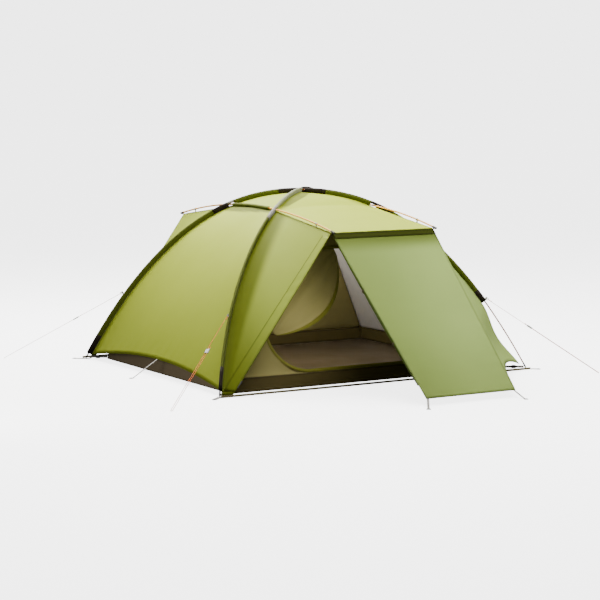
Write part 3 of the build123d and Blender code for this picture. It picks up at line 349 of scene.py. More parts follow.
def leg_seam(end, side, reach):
    """Cloth seam inside a leg, drawn in from the pole below the open sleeves on the right."""
    reach = np.asarray(reach, float)
    over = end == side
    low = np.clip((reach - SLEEVE_END) / (1 - SLEEVE_END), 0, 1)
    draw = CORNER_DRAW_IN * np.sin(math.pi * low) ** 2 if end == RIGHT else np.zeros_like(reach)
    drop = (SEAM_DROP + draw)[..., None]
    return arch_point(over, end * reach) + arch_inward(over, end * reach) * drop


def smooth_step(x):
    """0 below 0, 1 above 1, and a smooth rise between them."""
    x = np.clip(x, 0, 1)
    return x * x * (3 - 2 * x)


def between(start, end):
    """Straight edge as a function of a share from 0 to 1."""
    return lambda share: start + (end - start) * np.asarray(share)[..., None]


def leg_edge(end, side, low, high):
    """Leg seam as a function of a share from 0 at the low end to 1."""
    return lambda share: leg_seam(end, side, low + (high - low) * np.asarray(share))


def scaled(vector, amount):
    """A vector times an array of amounts."""
    return np.asarray(amount)[..., None] * np.asarray(vector, float)


def no_bulge(share):
    """Bulge of a flat panel."""
    return scaled(UP, 0 * share)


def awning_corner(end, side):
    """Outer corner of an awning, under the end of a ridge pole."""
    return ridge_seam(end, np.array(side * RIDGE_REACH))


def door_corner(end, side):
    """Lower corner of a door panel, just off the ground."""
    return np.array([DOOR_LEFT_X if end == LEFT else DOOR_RIGHT_X, side * DOOR_REACH, DOOR_HEM_HEIGHT])


def zip_foot(side):
    """Lower end of a fly zip, beside the left foot."""
    return np.array([ZIP_FOOT[0], side * ZIP_FOOT[1], ZIP_FOOT[2]])


def zip_away(side):
    """Level direction from a zip edge away from its side panel."""
    return unit(np.array([1.0, side, 0.0]))


def seam_bulge(end, side, draw):
    """Inward draw of a side panel as a half sine of the height, and its top edge along the ridge seam."""
    middle = ridge_seam(end, np.array(side * (CROSSING_Y + RIDGE_REACH) / 2))
    top = middle - (leg_seam(end, side, CROSSING) + awning_corner(end, side)) / 2

    def bulge(share):
        sag = np.sin(math.pi * (SAG_START + (1 - SAG_START) * share))
        return scaled(draw, sag) + scaled(top, share**4)

    return bulge


def end_panel(end):
    """Edges and bulge of an end panel between the two legs of an end, under the ridge."""
    edges = [leg_edge(end, side, HEM, CROSSING) for side in (BACK, FRONT)]
    top = ridge_seam(end, np.array(0.0)) - (edges[0](1.0) + edges[1](1.0)) / 2
    inward = np.array([-end * END_SAG, 0, 0])
    return *edges, lambda share: scaled(inward, np.sin(math.pi * share)) + scaled(top, share**6)


def side_panel(side):
    """Edges and bulge of the narrow panel from a left leg to the zip."""
    edges = leg_edge(LEFT, side, HEM, CROSSING), between(zip_foot(side), awning_corner(LEFT, side))
    return *edges, seam_bulge(LEFT, side, np.array([SIDE_DRAW[0], -side * SIDE_DRAW[1], 0]))


def wing_panel(side):
    """Edges and bulge of the wide panel from the door to a right leg."""
    door_edge = between(door_corner(RIGHT, side), awning_corner(RIGHT, side))
    edges = door_edge, leg_edge(RIGHT, side, HEM, CROSSING)
    return *edges, seam_bulge(RIGHT, side, unit(np.array([-1.0, -side, 0.0])) * WING_SAG)


def door_panel(side):
    """Edges and bulge of the panel that slopes from the awning to the ground."""
    edges = [between(door_corner(end, side), awning_corner(end, side)) for end in (LEFT, RIGHT)]
    return *edges, lambda share: scaled([0, -side * DOOR_SAG, -DOOR_SAG], np.sin(math.pi * share))


def leaf_panel(side):
    """Edges and bulge of the leaf between a zip and the door panel."""
    top = awning_corner(LEFT, side)
    clear = zip_away(side) * LEAF_CLEARANCE
    edges = between(zip_foot(side) + clear, top + clear), between(door_corner(LEFT, side), top)
    return *edges, lambda share: scaled([DOOR_SAG, -side * DOOR_SAG, 0], np.sin(math.pi * share))


def roof_panel(end):
    """Edges and bulge of a roof triangle between a ridge and the crown."""
    edges = [leg_edge(end, side, CROSSING, BREAK) for side in (BACK, FRONT)]
    top = ridge_seam(end, np.array(0.0)) - (edges[0](0.0) + edges[1](0.0)) / 2
    return *edges, lambda share: scaled(top, (1 - share) ** 2)


def awning_panel(side):
    """Edges and bulge of an awning and the triangle above it, share 0 at the hem, 1 at the crown.

    Up to the crossing the edges are the ridge seams, and past it the leg seams.
    """
    turn = AWNING_TURN

    def edge(end):
        def along(share):
            share = np.asarray(share)
            low = np.clip(share / turn, 0, 1)
            high = np.clip((share - turn) / (1 - turn), 0, 1)
            ridge = ridge_seam(end, side * (RIDGE_REACH - (RIDGE_REACH - CROSSING_Y) * low))
            leg = leg_seam(end, side, CROSSING + (BREAK - CROSSING) * high)
            return np.where((share <= turn)[..., None], ridge, leg)

        return along

    def bulge(share):
        low, high = np.clip(share / turn, 0, 1), np.clip((share - turn) / (1 - turn), 0, 1)
        return scaled(UP * AWNING_CROWN, np.where(share <= turn, low**2, (1 - high) ** 2))

    return edge(LEFT), edge(RIGHT), bulge


def surface_normals(points):
    """Unit normals of a grid of points, from the cross product of its two directions."""
    return unit(np.cross(np.gradient(points, axis=0), np.gradient(points, axis=1)) + 1e-12)


def run_lengths(points, axis):
    """Running length along one direction of a grid of points."""
    steps = np.linalg.norm(np.diff(points, axis=axis), axis=-1)
    start = np.zeros_like(np.take(steps, [0], axis=axis))
    return np.concatenate([start, np.cumsum(steps, axis=axis)], axis=axis)


def cloth_panel(left, right, bulge, rise=0.0, low=0.0, high=1.0, strip=None, shift=0, pucker=0.0015, seed=0,
                cols=61, rows=61, tone=None):
    """Grid of a cloth panel, each point's distance from the panel's edges, and its tone of painted shade, 0
    where the painted shade is deepest.

    A point is left(v) + (right(v) - left(v)) u + bulge(v) 4u(1-u); the hem arches as rise 4u(1-u), and
    strip keeps only that width beside the right edge. Puckers are short waves along the seams that die out
    inward, on top of a few long seeded waves.
    """
    random = np.random.default_rng(seed)
    u = np.linspace(0, 1, cols)[:, None]
    t = np.linspace(0, 1, rows)[None, :]
    hem = low + rise * 4 * u * (1 - u)
    v = hem + (high - hem) * t
    width = np.linalg.norm(right(v) - left(v), axis=-1)
    if strip is not None:
        u = 1 - (1 - u) * np.minimum(1, strip / width)
    arch = 4 * u * (1 - u) + 0 * v
    points = left(v) + (right(v) - left(v)) * (u + 0 * v)[..., None] + bulge(v) * arch[..., None]
    points = points + shift
    across, along = run_lengths(points, 0), run_lengths(points, 1)
    from_left, from_right = across, across[-1:] - across
    from_hem, from_top = along, along[:, -1:] - along
    edge = np.minimum(np.minimum(from_left, from_right), np.minimum(from_hem, from_top))
    phase = random.uniform(0, 2 * math.pi, 4)
    short = np.sin(along * 2 * math.pi / LEFT_WAVE + phase[0]) * np.exp(-from_left / SEAM_FADE)
    short = short + np.sin(along * 2 * math.pi / RIGHT_WAVE + phase[1]) * np.exp(-from_right / SEAM_FADE)
    short = short + np.sin(across * 2 * math.pi / HEM_WAVE + phase[2]) * np.exp(-from_hem / HEM_FADE)
    long = np.sin(across * 5 + along * 3 + phase[3]) * np.sin(along * 7 - across * 2 + phase[0])
    held = np.clip(edge / HELD_EDGE, 0, 1)
    lift = pucker * (short + LONG_WAVE_SHARE * long) * held
    grid = {"points": points + surface_normals(points) * lift[..., None], "edge": edge}
    # Painted shade from the tone function, as a tone per point
    if tone:
        grid["tone"] = tone(u + 0 * v, v + 0 * u, from_left, from_top)
    return grid


def sweep(path, across, outward, profile):
    """Profile carried along a path: each ring is path + across * first + outward * second coordinate."""
    rings = path[:, None, :] + across[:, None, :] * profile[None, :, :1]
    return rings + outward[:, None, :] * profile[None, :, 1:]


def capped(rings):
    """Rings of a closed sweep with both ends drawn to a point."""
    middles = rings.mean(axis=1, keepdims=True)
    first, last = (np.repeat(middle, rings.shape[1], axis=1) for middle in (middles[:1], middles[-1:]))
    return np.concatenate([first, rings, last])


def tangents(path):
    """Unit directions along a path."""
    return unit(np.gradient(path, axis=0))


def ribbon(path, side, width, thickness):
    """Flat strap along a path: a rectangle with rounded short sides, its width toward the side vector."""
    along = tangents(path)
    across = unit(side - along * np.sum(side * along, axis=-1, keepdims=True))
    flat = np.cross(along, across)
    turn = np.linspace(-math.pi / 2, math.pi / 2, 5)
    cap_x = width / 2 - thickness / 2 + thickness / 2 * np.cos(turn)
    cap_y = thickness / 2 * np.sin(turn)
    profile = np.concatenate([np.stack([cap_x, cap_y], -1), np.stack([-cap_x, -cap_y], -1)])
    return {"points": capped(sweep(path, across, flat, profile)), "closed": True}


def round_cord(path, radius, sides=10):
    """Round tube along a path, its rings turned by the level direction across the path."""
    along = tangents(path)
    across = unit(np.cross(UP, along) + np.array([1e-6, 0, 0]))
    turn = np.linspace(0, 2 * math.pi, sides, endpoint=False)
    radius = np.broadcast_to(np.asarray(radius, float), (len(path),))
    profile = np.stack([np.cos(turn), np.sin(turn)], -1)
    rings = path[:, None, :] + radius[:, None, None] * (
        across[:, None, :] * profile[None, :, :1] + np.cross(along, across)[:, None, :] * profile[None, :, 1:]
    )
    return {"points": capped(rings), "closed": True}


def line_points(start, end, count):
    """Evenly spaced points of a straight line."""
    return start + (end - start) * np.linspace(0, 1, count)[:, None]


def outline_radius(outline, angles):
    """Distance of a closed outline from its origin at each angle, read off between its own points."""
    own = np.arctan2(outline[:, 1], outline[:, 0])
    order = np.argsort(own)
    return np.interp(angles, own[order], np.hypot(outline[:, 0], outline[:, 1])[order], period=2 * math.pi)


def ring_grid(inner, outer, angles, rows):
    """Flat grid between two star-shaped outlines: radius goes evenly from the inner to the outer one."""
    rays = np.stack([np.cos(angles), np.sin(angles)], -1)
    share = np.linspace(0, 1, rows)[None, :, None]
    start = outline_radius(inner, angles)[:, None, None]
    end = outline_radius(outer, angles)[:, None, None]
    return rays[:, None, :] * (start + (end - start) * share)


def polygon_outline(corners, steps=200):
    """Points along the straight sides of a polygon."""
    corners = np.asarray(corners, float)
    share = np.linspace(0, 1, steps, endpoint=False)[None, :, None]
    return (corners[:, None, :] + (np.roll(corners, -1, axis=0) - corners)[:, None, :] * share).reshape(-1, 2)


def circle_outline(radius, centre=(0, 0), steps=64):
    """Points of a circle."""
    turn = np.linspace(0, 2 * math.pi, steps, endpoint=False)
    return np.stack([centre[0] + radius * np.cos(turn), centre[1] + radius * np.sin(turn)], -1)


def mesh_piece(name, grids, materials, thickness=0.0):
    """One object from grids of points: quads between neighbours, lengths in metres as UVs, edge distances.

    A closed grid joins its last column to its first. Doubled points at drawn-in ends are merged.
    """
    corners, faces, uvs, edges, painted_shade_tones, finish = [], [], [], [], [], []
    count = 0
    for grid in grids:
        points = grid["points"]
        index = count + np.arange(points.shape[0] * points.shape[1]).reshape(points.shape[:2])
        shown = points
        if grid.get("closed"):
            index = np.concatenate([index, index[:, :1]], axis=1)
            shown = np.concatenate([points, points[:, :1]], axis=1)
        uv = np.stack([run_lengths(shown, 0), run_lengths(shown, 1)], -1)
        quad = [(slice(None, -1), slice(None, -1)), (slice(1, None), slice(None, -1)),
                (slice(1, None), slice(1, None)), (slice(None, -1), slice(1, None))]
        faces.append(np.stack([index[q] for q in quad], -1).reshape(-1, 4))
        uvs.append(np.stack([uv[q] for q in quad], 2).reshape(-1, 2))
        corners.append(points.reshape(-1, 3))
        edges.append(grid.get("edge", np.ones(points.shape[:2])).reshape(-1))
        painted_shade_tones.append(grid.get("tone", np.ones(points.shape[:2])).reshape(-1))
        finish.append(np.full(len(faces[-1]), grid.get("finish", 0)))
        count += points.shape[0] * points.shape[1]
    mesh = bpy.data.meshes.new(name)
    mesh.from_pydata(np.concatenate(corners).tolist(), [], np.concatenate(faces).tolist())
    mesh.uv_layers.new(name="UVMap").data.foreach_set("uv", np.concatenate(uvs).astype(np.float32).ravel())
    # The tone attribute carries painted shade, 1 where there is none
    for label, values in (("edge", edges), ("tone", painted_shade_tones)):
        layer = mesh.attributes.new(label, "FLOAT", "POINT")
        layer.data.foreach_set("value", np.concatenate(values).astype(np.float32))
    for material in materials:
        mesh.materials.append(material)
    mesh.polygons.foreach_set("material_index", np.concatenate(finish).astype(np.int32))
    mesh.polygons.foreach_set("use_smooth", np.ones(len(mesh.polygons), bool))
    work = bmesh.new()
    work.from_mesh(mesh)
    bmesh.ops.remove_doubles(work, verts=work.verts, dist=1e-7)
    bmesh.ops.recalc_face_normals(work, faces=work.faces)
    work.to_mesh(mesh)
    work.free()
    mesh.set_sharp_from_angle(angle=math.radians(50))
    made = bpy.data.objects.new(name, mesh)
    bpy.context.scene.collection.objects.link(made)
    if thickness:
        shell = made.modifiers.new("cloth thickness", "SOLIDIFY")
        shell.thickness = thickness
        shell.offset = 0
    return made


def settle(made, stands_for, body="tent"):
    """Rides a piece on its body and hides the solids it stands for."""
    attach(made, body)
    if stands_for:
        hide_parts(*stands_for)
    return made


def strap(path, side):
    """Webbing along a path, its width toward one direction."""
    return ribbon(path, np.broadcast_to(side, path.shape), WEBBING_WIDTH, WEBBING)


def ring_angles(corners):
    """Even angles round a ring together with those of its corners, closed by the first one again."""
    even = np.linspace(-math.pi, math.pi, 48, endpoint=False)
    angles = np.sort(np.concatenate([even, np.arctan2(corners[:, 1], corners[:, 0])]))
    return np.append(angles, angles[0] + 2 * math.pi)


# Finishes
def shade_node(tree, kind, links=(), **values):
    """New shader node with its options and sockets set and its inputs linked."""
    made = tree.nodes.new(kind)
    for name, value in values.items():
        setattr(made, name, value)
    for socket, source in links:
        if hasattr(source, "node"):
            tree.links.new(source, made.inputs[socket])
        else:
            made.inputs[socket].default_value = source
    return made


def new_finish(name, roughness, specular=0.4, metallic=0.0, sheen=0.0):
    """Material with its constant values on the shader's own sockets."""
    material = bpy.data.materials.new(name)
    material.use_nodes = True
    shader = material.node_tree.nodes["Principled BSDF"]
    shader.inputs["Roughness"].default_value = roughness
    shader.inputs["Specular IOR Level"].default_value = specular
    shader.inputs["Metallic"].default_value = metallic
    shader.inputs["Sheen Weight"].default_value = sheen
    return material, material.node_tree, shader


def math_node(tree, operation, first, second=0.0):
    """Result of a math node."""
    return shade_node(tree, "ShaderNodeMath", [(0, first), (1, second)], operation=operation).outputs[0]


def mixed_colour(tree, factor, first, second):
    """Colour between two colours."""
    node = shade_node(tree, "ShaderNodeMix", [(0, factor), (6, first), (7, second)], data_type="RGBA")
    return node.outputs[2]


def noise_node(tree, place, scale, detail):
    """Share from a noise texture."""
    links = [("Vector", place), ("Scale", scale), ("Detail", detail)]
    return shade_node(tree, "ShaderNodeTexNoise", links).outputs["Fac"]


def spread_roughness(tree, shader, source, low, high):
    """Roughness that follows a noise from low to high."""
    links = [(0, source), (1, 0.3), (2, 0.7), (3, low), (4, high)]
    tree.links.new(shade_node(tree, "ShaderNodeMapRange", links).outputs[0], shader.inputs["Roughness"])


def raise_surface(tree, shader, height, strength, distance):
    """Bump from a height."""
    links = [("Height", height), ("Strength", strength), ("Distance", distance)]
    relief = shade_node(tree, "ShaderNodeBump", links)
    tree.links.new(relief.outputs[0], shader.inputs["Normal"])


def attribute_node(tree, name):
    """A mesh attribute as a number."""
    return shade_node(tree, "ShaderNodeAttribute", attribute_name=name).outputs["Fac"]


def grid_lines(tree, pitch, width):
    """1 on thin lines of a square grid of that pitch in the UV map's metres, 0 between them."""
    place = shade_node(tree, "ShaderNodeSeparateXYZ", [(0, shade_node(tree, "ShaderNodeUVMap").outputs[0])])
    lines = []
    for axis in (0, 1):
        share = math_node(tree, "FRACT", math_node(tree, "DIVIDE", place.outputs[axis], pitch))
        lines.append(math_node(tree, "LESS_THAN", share, width / pitch))
    return math_node(tree, "MAXIMUM", *lines)


def woven_finish(name, colour, shade, roughness, pitch, sheen=0.03, specular=0.15, seam=0.72, cloudy=3.0):
    """Coated woven cloth: clouded colour, a fine raised grid of threads, a darker stitched edge, and painted
    shade from the mesh's tone attribute.
    """
    material, tree, shader = new_finish(name, roughness, specular, sheen=sheen)
    place = shade_node(tree, "ShaderNodeTexCoord").outputs["Object"]
    clouds = noise_node(tree, place, cloudy, 4.0)
    tone = mixed_colour(tree, clouds, (*colour, 1), (*shade, 1))
    threads = grid_lines(tree, pitch, pitch * THREAD_SHARE)
    thread_tone = (*[c * THREAD_TONE for c in colour], 1)
    tone = mixed_colour(tree, math_node(tree, "MULTIPLY", threads, THREAD_STRENGTH), tone, thread_tone)
    edge = attribute_node(tree, "edge")
    hem = math_node(tree, "MULTIPLY", math_node(tree, "LESS_THAN", edge, HEM_WIDTH), 1 - seam)
    from_stitch = math_node(tree, "ABSOLUTE", math_node(tree, "SUBTRACT", edge, STITCH_PLACE))
    stitch = math_node(tree, "MULTIPLY", math_node(tree, "LESS_THAN", from_stitch, STITCH_HALF), STITCH_STRENGTH)
    dark = math_node(tree, "MAXIMUM", hem, stitch)
    tone = mixed_colour(tree, dark, tone, (*[c * STITCH_TONE for c in colour], 1))
    # Painted shade: the tone attribute draws the colour toward its painted shade share
    painted_hollow_shade = math_node(tree, "SUBTRACT", 1.0, attribute_node(tree, "tone"))
    links = [(0, painted_hollow_shade), (6, tone), (7, (*PAINTED_SHADE_SHARE, 1))]
    deep = shade_node(tree, "ShaderNodeMix", links, data_type="RGBA", blend_type="MULTIPLY")
    tree.links.new(deep.outputs[2], shader.inputs["Base Color"])
    grain = math_node(tree, "MULTIPLY", noise_node(tree, place, GRAIN_SCALE, 2.0), GRAIN_HEIGHT)
    creases = math_node(tree, "MULTIPLY", noise_node(tree, place, CREASE_SCALE, 3.0), CREASE_HEIGHT)
    height = math_node(tree, "ADD", math_node(tree, "MULTIPLY", threads, THREAD_HEIGHT), grain)
    raise_surface(tree, shader, math_node(tree, "ADD", height, creases), 0.25, 1.0)
    spread_roughness(tree, shader, clouds, roughness - 0.05, roughness + 0.08)
    return material


def webbing_finish(name, colour, stripe):
    """Webbing: ribs across the strap in the UV map, clouded by wear."""
    material, tree, shader = new_finish(name, roughness=0.75, specular=0.25, sheen=0.2)
    place = shade_node(tree, "ShaderNodeSeparateXYZ", [(0, shade_node(tree, "ShaderNodeUVMap").outputs[0])])
    ribs = math_node(tree, "SINE", math_node(tree, "MULTIPLY", place.outputs[0], 2 * math.pi / RIB_PITCH))
    wear = noise_node(tree, shade_node(tree, "ShaderNodeTexCoord").outputs["Object"], 60.0, 3.0)
    share = math_node(tree, "ADD", math_node(tree, "MULTIPLY", ribs, RIB_TONE), wear)
    tree.links.new(mixed_colour(tree, share, (*colour, 1), (*stripe, 1)), shader.inputs["Base Color"])
    raise_surface(tree, shader, ribs, 0.4, RIB_HEIGHT)
    return material


def moulded_finish(name, colour, worn, roughness, metallic=0.0, scale=140.0):
    """Moulded plastic or metal: fine grain, with a worn tone in the noise's peaks."""
    material, tree, shader = new_finish(name, roughness, specular=0.5, metallic=metallic)
    noise = noise_node(tree, shade_node(tree, "ShaderNodeTexCoord").outputs["Object"], scale, 4.0)
    tree.links.new(mixed_colour(tree, noise, (*colour, 1), (*worn, 1)), shader.inputs["Base Color"])
    spread_roughness(tree, shader, noise, roughness - 0.06, roughness + 0.1)
    raise_surface(tree, shader, noise, 0.15, MOULD_HEIGHT)
    return material


fly_green = woven_finish("fly_green_cloth", (0.48, 0.565, 0.044), (0.42, 0.495, 0.035), 0.5, 0.006, seam=0.9)
door_green = woven_finish("door_green_cloth", (0.35, 0.475, 0.115), (0.305, 0.415, 0.10), 0.52, 0.006)
# Painted shade: the side panels' cloth is a darker copy of the fly's green
side_shaded_green = woven_finish("side_shaded_green_cloth", (0.335, 0.40, 0.05), (0.29, 0.35, 0.042), 0.6, 0.006, 0.0, 0.06)
sleeve_olive = woven_finish("sleeve_olive_cloth", (0.10, 0.118, 0.010), (0.08, 0.094, 0.008), 0.65, 0.002)
patch_dark = woven_finish("patch_dark_cloth", (0.022, 0.015, 0.009), (0.016, 0.011, 0.007), 0.75, 0.002)
# Partly a grey strip on arch B's sleeve between the crossing and the crown, partly a painted highlight where the
# sleeve's top catches the light
crown_grey_highlight = woven_finish("crown_strip_and_highlight_cloth", (0.36, 0.37, 0.24), (0.31, 0.32, 0.20), 0.6, 0.002)
inner_beige = woven_finish("inner_beige_cloth", (0.31, 0.265, 0.090), (0.27, 0.23, 0.075), 0.8, 0.004,
                           cloudy=2.0)
end_pale = woven_finish("end_wall_pale_cloth", (0.78, 0.74, 0.68), (0.70, 0.66, 0.60), 0.8, 0.004)
floor_taupe = woven_finish("floor_taupe_cloth", (0.137, 0.099, 0.048), (0.108, 0.077, 0.037), 0.55, 0.004)
tub_brown = woven_finish("tub_brown_cloth", (0.30, 0.235, 0.14), (0.25, 0.19, 0.11), 0.6, 0.004)
binding_olive = woven_finish("binding_olive_tape", (0.18, 0.17, 0.016), (0.145, 0.135, 0.013), 0.7, 0.002)
zip_olive = woven_finish("zip_olive_tape", (0.14, 0.165, 0.016), (0.11, 0.13, 0.012), 0.65, 0.002)
hem_olive = woven_finish("hem_olive_cloth", (0.040, 0.048, 0.003), (0.030, 0.036, 0.002), 0.7, 0.002,
                         sheen=0.0, specular=0.05)
webbing_olive = webbing_finish("webbing_olive", (0.20, 0.165, 0.065), (0.26, 0.22, 0.10))
webbing_grey = webbing_finish("webbing_grey", (0.27, 0.255, 0.22), (0.36, 0.34, 0.30))
cord_orange = webbing_finish("guy_cord_orange", (0.80, 0.13, 0.010), (0.84, 0.19, 0.025))
pole_orange = moulded_finish("ridge_pole_orange", (0.95, 0.42, 0.035), (0.97, 0.47, 0.05), 0.5, 0.0, 60.0)
pole_copper = moulded_finish("arch_pole_copper", (0.40, 0.10, 0.02), (0.48, 0.15, 0.04), 0.4, 0.2, 60.0)
alloy_grey = moulded_finish("ferrule_alloy", (0.45, 0.45, 0.45), (0.55, 0.55, 0.55), 0.35, 0.9)
plastic_dark = moulded_finish("fitting_dark_plastic", (0.028, 0.024, 0.020), (0.055, 0.05, 0.045), 0.5)
plastic_grey = moulded_finish("runner_grey_plastic", (0.30, 0.29, 0.26), (0.38, 0.37, 0.34), 0.5)
steel_grey = moulded_finish("eyelet_steel", (0.40, 0.40, 0.40), (0.50, 0.50, 0.50), 0.35, 0.9)


def corner_name(end, side):
    """A corner's place in words."""
    return f"{'front' if side == FRONT else 'back'}_{'left' if end == LEFT else 'right'}"


CARRIED_FINISHES = {
    pole_copper: ["arch_pole_a", "arch_pole_b"],
    pole_orange: ["ridge_poles"],
    alloy_grey: ["pole_ferrules"],
    plastic_dark: ["arch_pole_tips", "ridge_pole_caps", "corner_buckles",
                   "front_zip_slider", "back_zip_slider"],
    plastic_grey: ["ridge_clips", *(f"guy_runner_{corner_name(*corner)}" for corner in CORNERS)],
    steel_grey: ["eyelets"],
}
for finish, carried in CARRIED_FINISHES.items():
    for node in carried:
        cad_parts[node].material_slots[0].material = finish

# Camera, light and floor
camera = bpy.data.objects.new("camera", bpy.data.cameras.new("camera"))
bpy.context.scene.collection.objects.link(camera)
camera.location = CAMERA_PLACE
camera.rotation_euler = (math.pi / 2 - CAMERA_PITCH, 0, -CAMERA_YAW)
camera.data.lens = CAMERA_LENS
camera.data.sensor_width = 36
camera.data.clip_end = 200
bpy.context.scene.camera = camera


def soft_light(name, place, target, size, power):
    """Square area light that faces a target."""
    light = bpy.data.objects.new(name, bpy.data.lights.new(name, "AREA"))
    bpy.context.scene.collection.objects.link(light)
    light.data.size = size
    light.data.energy = power
    light.location = place
    aim = unit(np.array(target, float) - np.array(place, float))
    light.rotation_euler = (math.acos(-aim[2]), 0, math.atan2(aim[1], aim[0]) - math.pi / 2)
    return light


soft_light("back_light", (-0.3, 2.6, 5.4), (0, 0, 0.6), 4.0, 950)
soft_light("front_light", (0.0, -2.8, 5.4), (0, 0, 0.6), 4.0, 394)
soft_light("left_fill", (-9.0, -1.5, 3.0), (0, 0, 0.5), 4.0, 50)
soft_light("right_fill", (8.0, -5.0, 3.0), (0, 0, 0.5), 4.0, 330)
cabin_glow = soft_light("cabin_glow", (-0.3, -0.2, 0.75), (0.8, 0.6, 0.42), 0.4, 9)
porch_glow = soft_light("porch_glow", (-0.44, -1.09, 0.6), (-0.58, -0.66, 0.52), 0.25, 1.4)
ground_bounce = soft_light("ground_bounce", (-3.4, -1.0, 0.6), (-1.09, -0.1, 0.05), 0.8, 15)
for glow in (cabin_glow, porch_glow, ground_bounce):
    glow.visible_camera = False

world = bpy.data.worlds.new("studio")
bpy.context.scene.world = world
world.use_nodes = True
sky = world.node_tree.nodes["Background"]
sky.inputs["Color"].default_value = (1.0, 1.0, 1.0, 1.0)
sky.inputs["Strength"].default_value = SKY_LIGHT
backdrop_look = [("Color", (1.0, 1.0, 1.0, 1.0)), ("Strength", SKY_SEEN)]
backdrop = shade_node(world.node_tree, "ShaderNodeBackground", backdrop_look)
seen = shade_node(world.node_tree, "ShaderNodeLightPath").outputs["Is Camera Ray"]
sky_links = [(0, seen), (1, sky.outputs[0]), (2, backdrop.outputs[0])]
mixed_sky = shade_node(world.node_tree, "ShaderNodeMixShader", sky_links)
world.node_tree.links.new(mixed_sky.outputs[0], world.node_tree.nodes["World Output"].inputs["Surface"])

floor_finish = moulded_finish("studio_floor", (0.76, 0.76, 0.755), (0.78, 0.78, 0.775), 0.9, 0.0, 2.0)
floor_shader = floor_finish.node_tree.nodes["Principled BSDF"]
floor_shader.inputs["Emission Color"].default_value = (1.0, 1.0, 1.0, 1.0)
floor_shader.inputs["Emission Strength"].default_value = FLOOR_GLOW
floor_rows = np.linspace(-GROUND_HALF, GROUND_HALF, 3)
floor_grid = np.stack(np.meshgrid(floor_rows, floor_rows, [-GROUND_DROP], indexing="ij"), -1)[:, :, 0]
ground = mesh_piece("studio_ground", [{"points": floor_grid}], [floor_finish])
ground.visible_diffuse = False
ground.visible_glossy = False


# Guy lines
def guy_frame(end, side):
    """Start of a guy line at its tab, its direction, the level one across it, and its length to the peg."""
    station = np.array(end * station_at_height(GUY_HEIGHT))
    leg = arch_point(end == side, station)
    reach = GUY_PEG_LEFT if end == LEFT else GUY_PEG_RIGHT
    peg = np.array([end * reach[0], side * reach[1], GUY_PEG_TURN + GUY_RADIUS])
    along = unit(peg - leg)
    tilt = abs(float(along @ arch_tangent(end == side, station)))
    cover = PATCH_COVER if end == RIGHT else 0
    seat = (GUY_SEAT_RADIUS + cover + GUY_TAB_WIDTH / 2 * tilt) / math.sqrt(1 - tilt**2) - GUY_TAB_SEAT
    across = unit(np.cross(UP, along))
    start = leg + along * (seat + GUY_TAB_BACK) - across * GUY_TURN_RADIUS
    return start, along, across, float(np.linalg.norm(peg - start))


def knot_grid(centre, along, across):
    """Knotted cord end: a round tube along a trefoil, three lobes that pass over and under each other."""
    t = np.linspace(0, 2 * math.pi, 49)[:-1]
    lobes = np.stack([np.sin(t) + 2 * np.sin(2 * t), np.cos(t) - 2 * np.cos(2 * t), -np.sin(3 * t)], -1) / 3
    axes = np.stack([along, across, np.cross(along, across)])
    path = centre + KNOT_SIZE * (lobes @ axes)
    path = np.concatenate([path, path[:1]])
    grid = round_cord(path, GUY_RADIUS * KNOT_CORD_SHARE, 8)
    grid["points"] = grid["points"][1:-1]
    return grid


for end, side in CORNERS:
    place = corner_name(end, side)
    start, along, across, length = guy_frame(end, side)
    turn, gauge = 2 * GUY_TURN_RADIUS, 2 * GUY_PEG_TURN
    tail_end = length * RUNNER_SHARE - RUNNER_LENGTH
    route = [
        (GUY_TAIL, turn),
        (0, turn),
        (-GUY_TURN_RADIUS, turn),
        (-GUY_TURN_RADIUS, 0),
        (0, 0),
        (GUY_LEAD, 0),
        (length - GUY_LEAD, 0),
        (length, 0),
        (length + GUY_PEG_TURN, 0),
        (length + GUY_PEG_TURN, gauge),
        (length, gauge),
        (length - GUY_LEAD, gauge),
        (tail_end, gauge),
    ]
    curve = bpy.data.curves.new(f"guy_cord_{place}", "CURVE")
    curve.dimensions = "3D"
    curve.bevel_depth = GUY_RADIUS
    curve.bevel_resolution = 3
    curve.resolution_u = 10
    spline = curve.splines.new("NURBS")
    spline.points.add(len(route) - 1)
    control = [start + along * x + across * y for x, y in route]
    spline.points.foreach_set("co", np.concatenate([control, np.ones((len(route), 1))], axis=1).ravel())
    spline.order_u = 3
    spline.use_endpoint_u = True
    curve.materials.append(cord_orange)
    guy = bpy.data.objects.new(f"guy_cord_{place}", curve)
    bpy.context.scene.collection.objects.link(guy)
    settle(guy, [f"guy_line_{place}"])
    ends = [knot_grid(control[i], along, across) for i in (0, -1)]
    knots = settle(mesh_piece(f"guy_knots_{place}", ends, [cord_orange]), [])


# Sleeves round the arch poles and under the ridge poles
def teardrop(radius, tail, lift=0.0):
    """Profile of a sleeve: an arc round the pole whose ends run straight to a narrow tail below."""
    radius, half = radius + lift, TAIL_HALF_WIDTH + lift
    lean = math.asin(radius / math.hypot(half, tail)) - math.atan(half / tail)
    turn = np.linspace(-lean, math.pi + lean, 21)
    arc = radius * np.stack([np.cos(turn), np.sin(turn)], -1)
    low = np.array([[-half, -tail], [half, -tail]])
    left = line_points(arc[-1], low[0], 5)[1:]
    right = line_points(low[1], arc[0], 5)[:-1]
    return np.concatenate([arc, left, right])


def arch_sweep(over, start, stop, profile, finish=0, swell=0.0, closed=True):
    """Profile carried along part of an arch pole, with a slow swell of its size."""
    count = max(4, int(abs(stop - start) * DIAGONAL / SLEEVE_STEP))
    s = np.linspace(start, stop, count)
    path, inward = arch_point(over, s), arch_inward(over, s)
    across = np.cross(arch_tangent(over, s), inward)
    rings = sweep(path, across, -inward, profile)
    size = 1 + swell * np.sin(s * 90) * np.sin(s * 37)
    rings = path[:, None, :] + (rings - path[:, None, :]) * size[:, None, None]
    return {"points": rings, "closed": closed, "finish": finish}


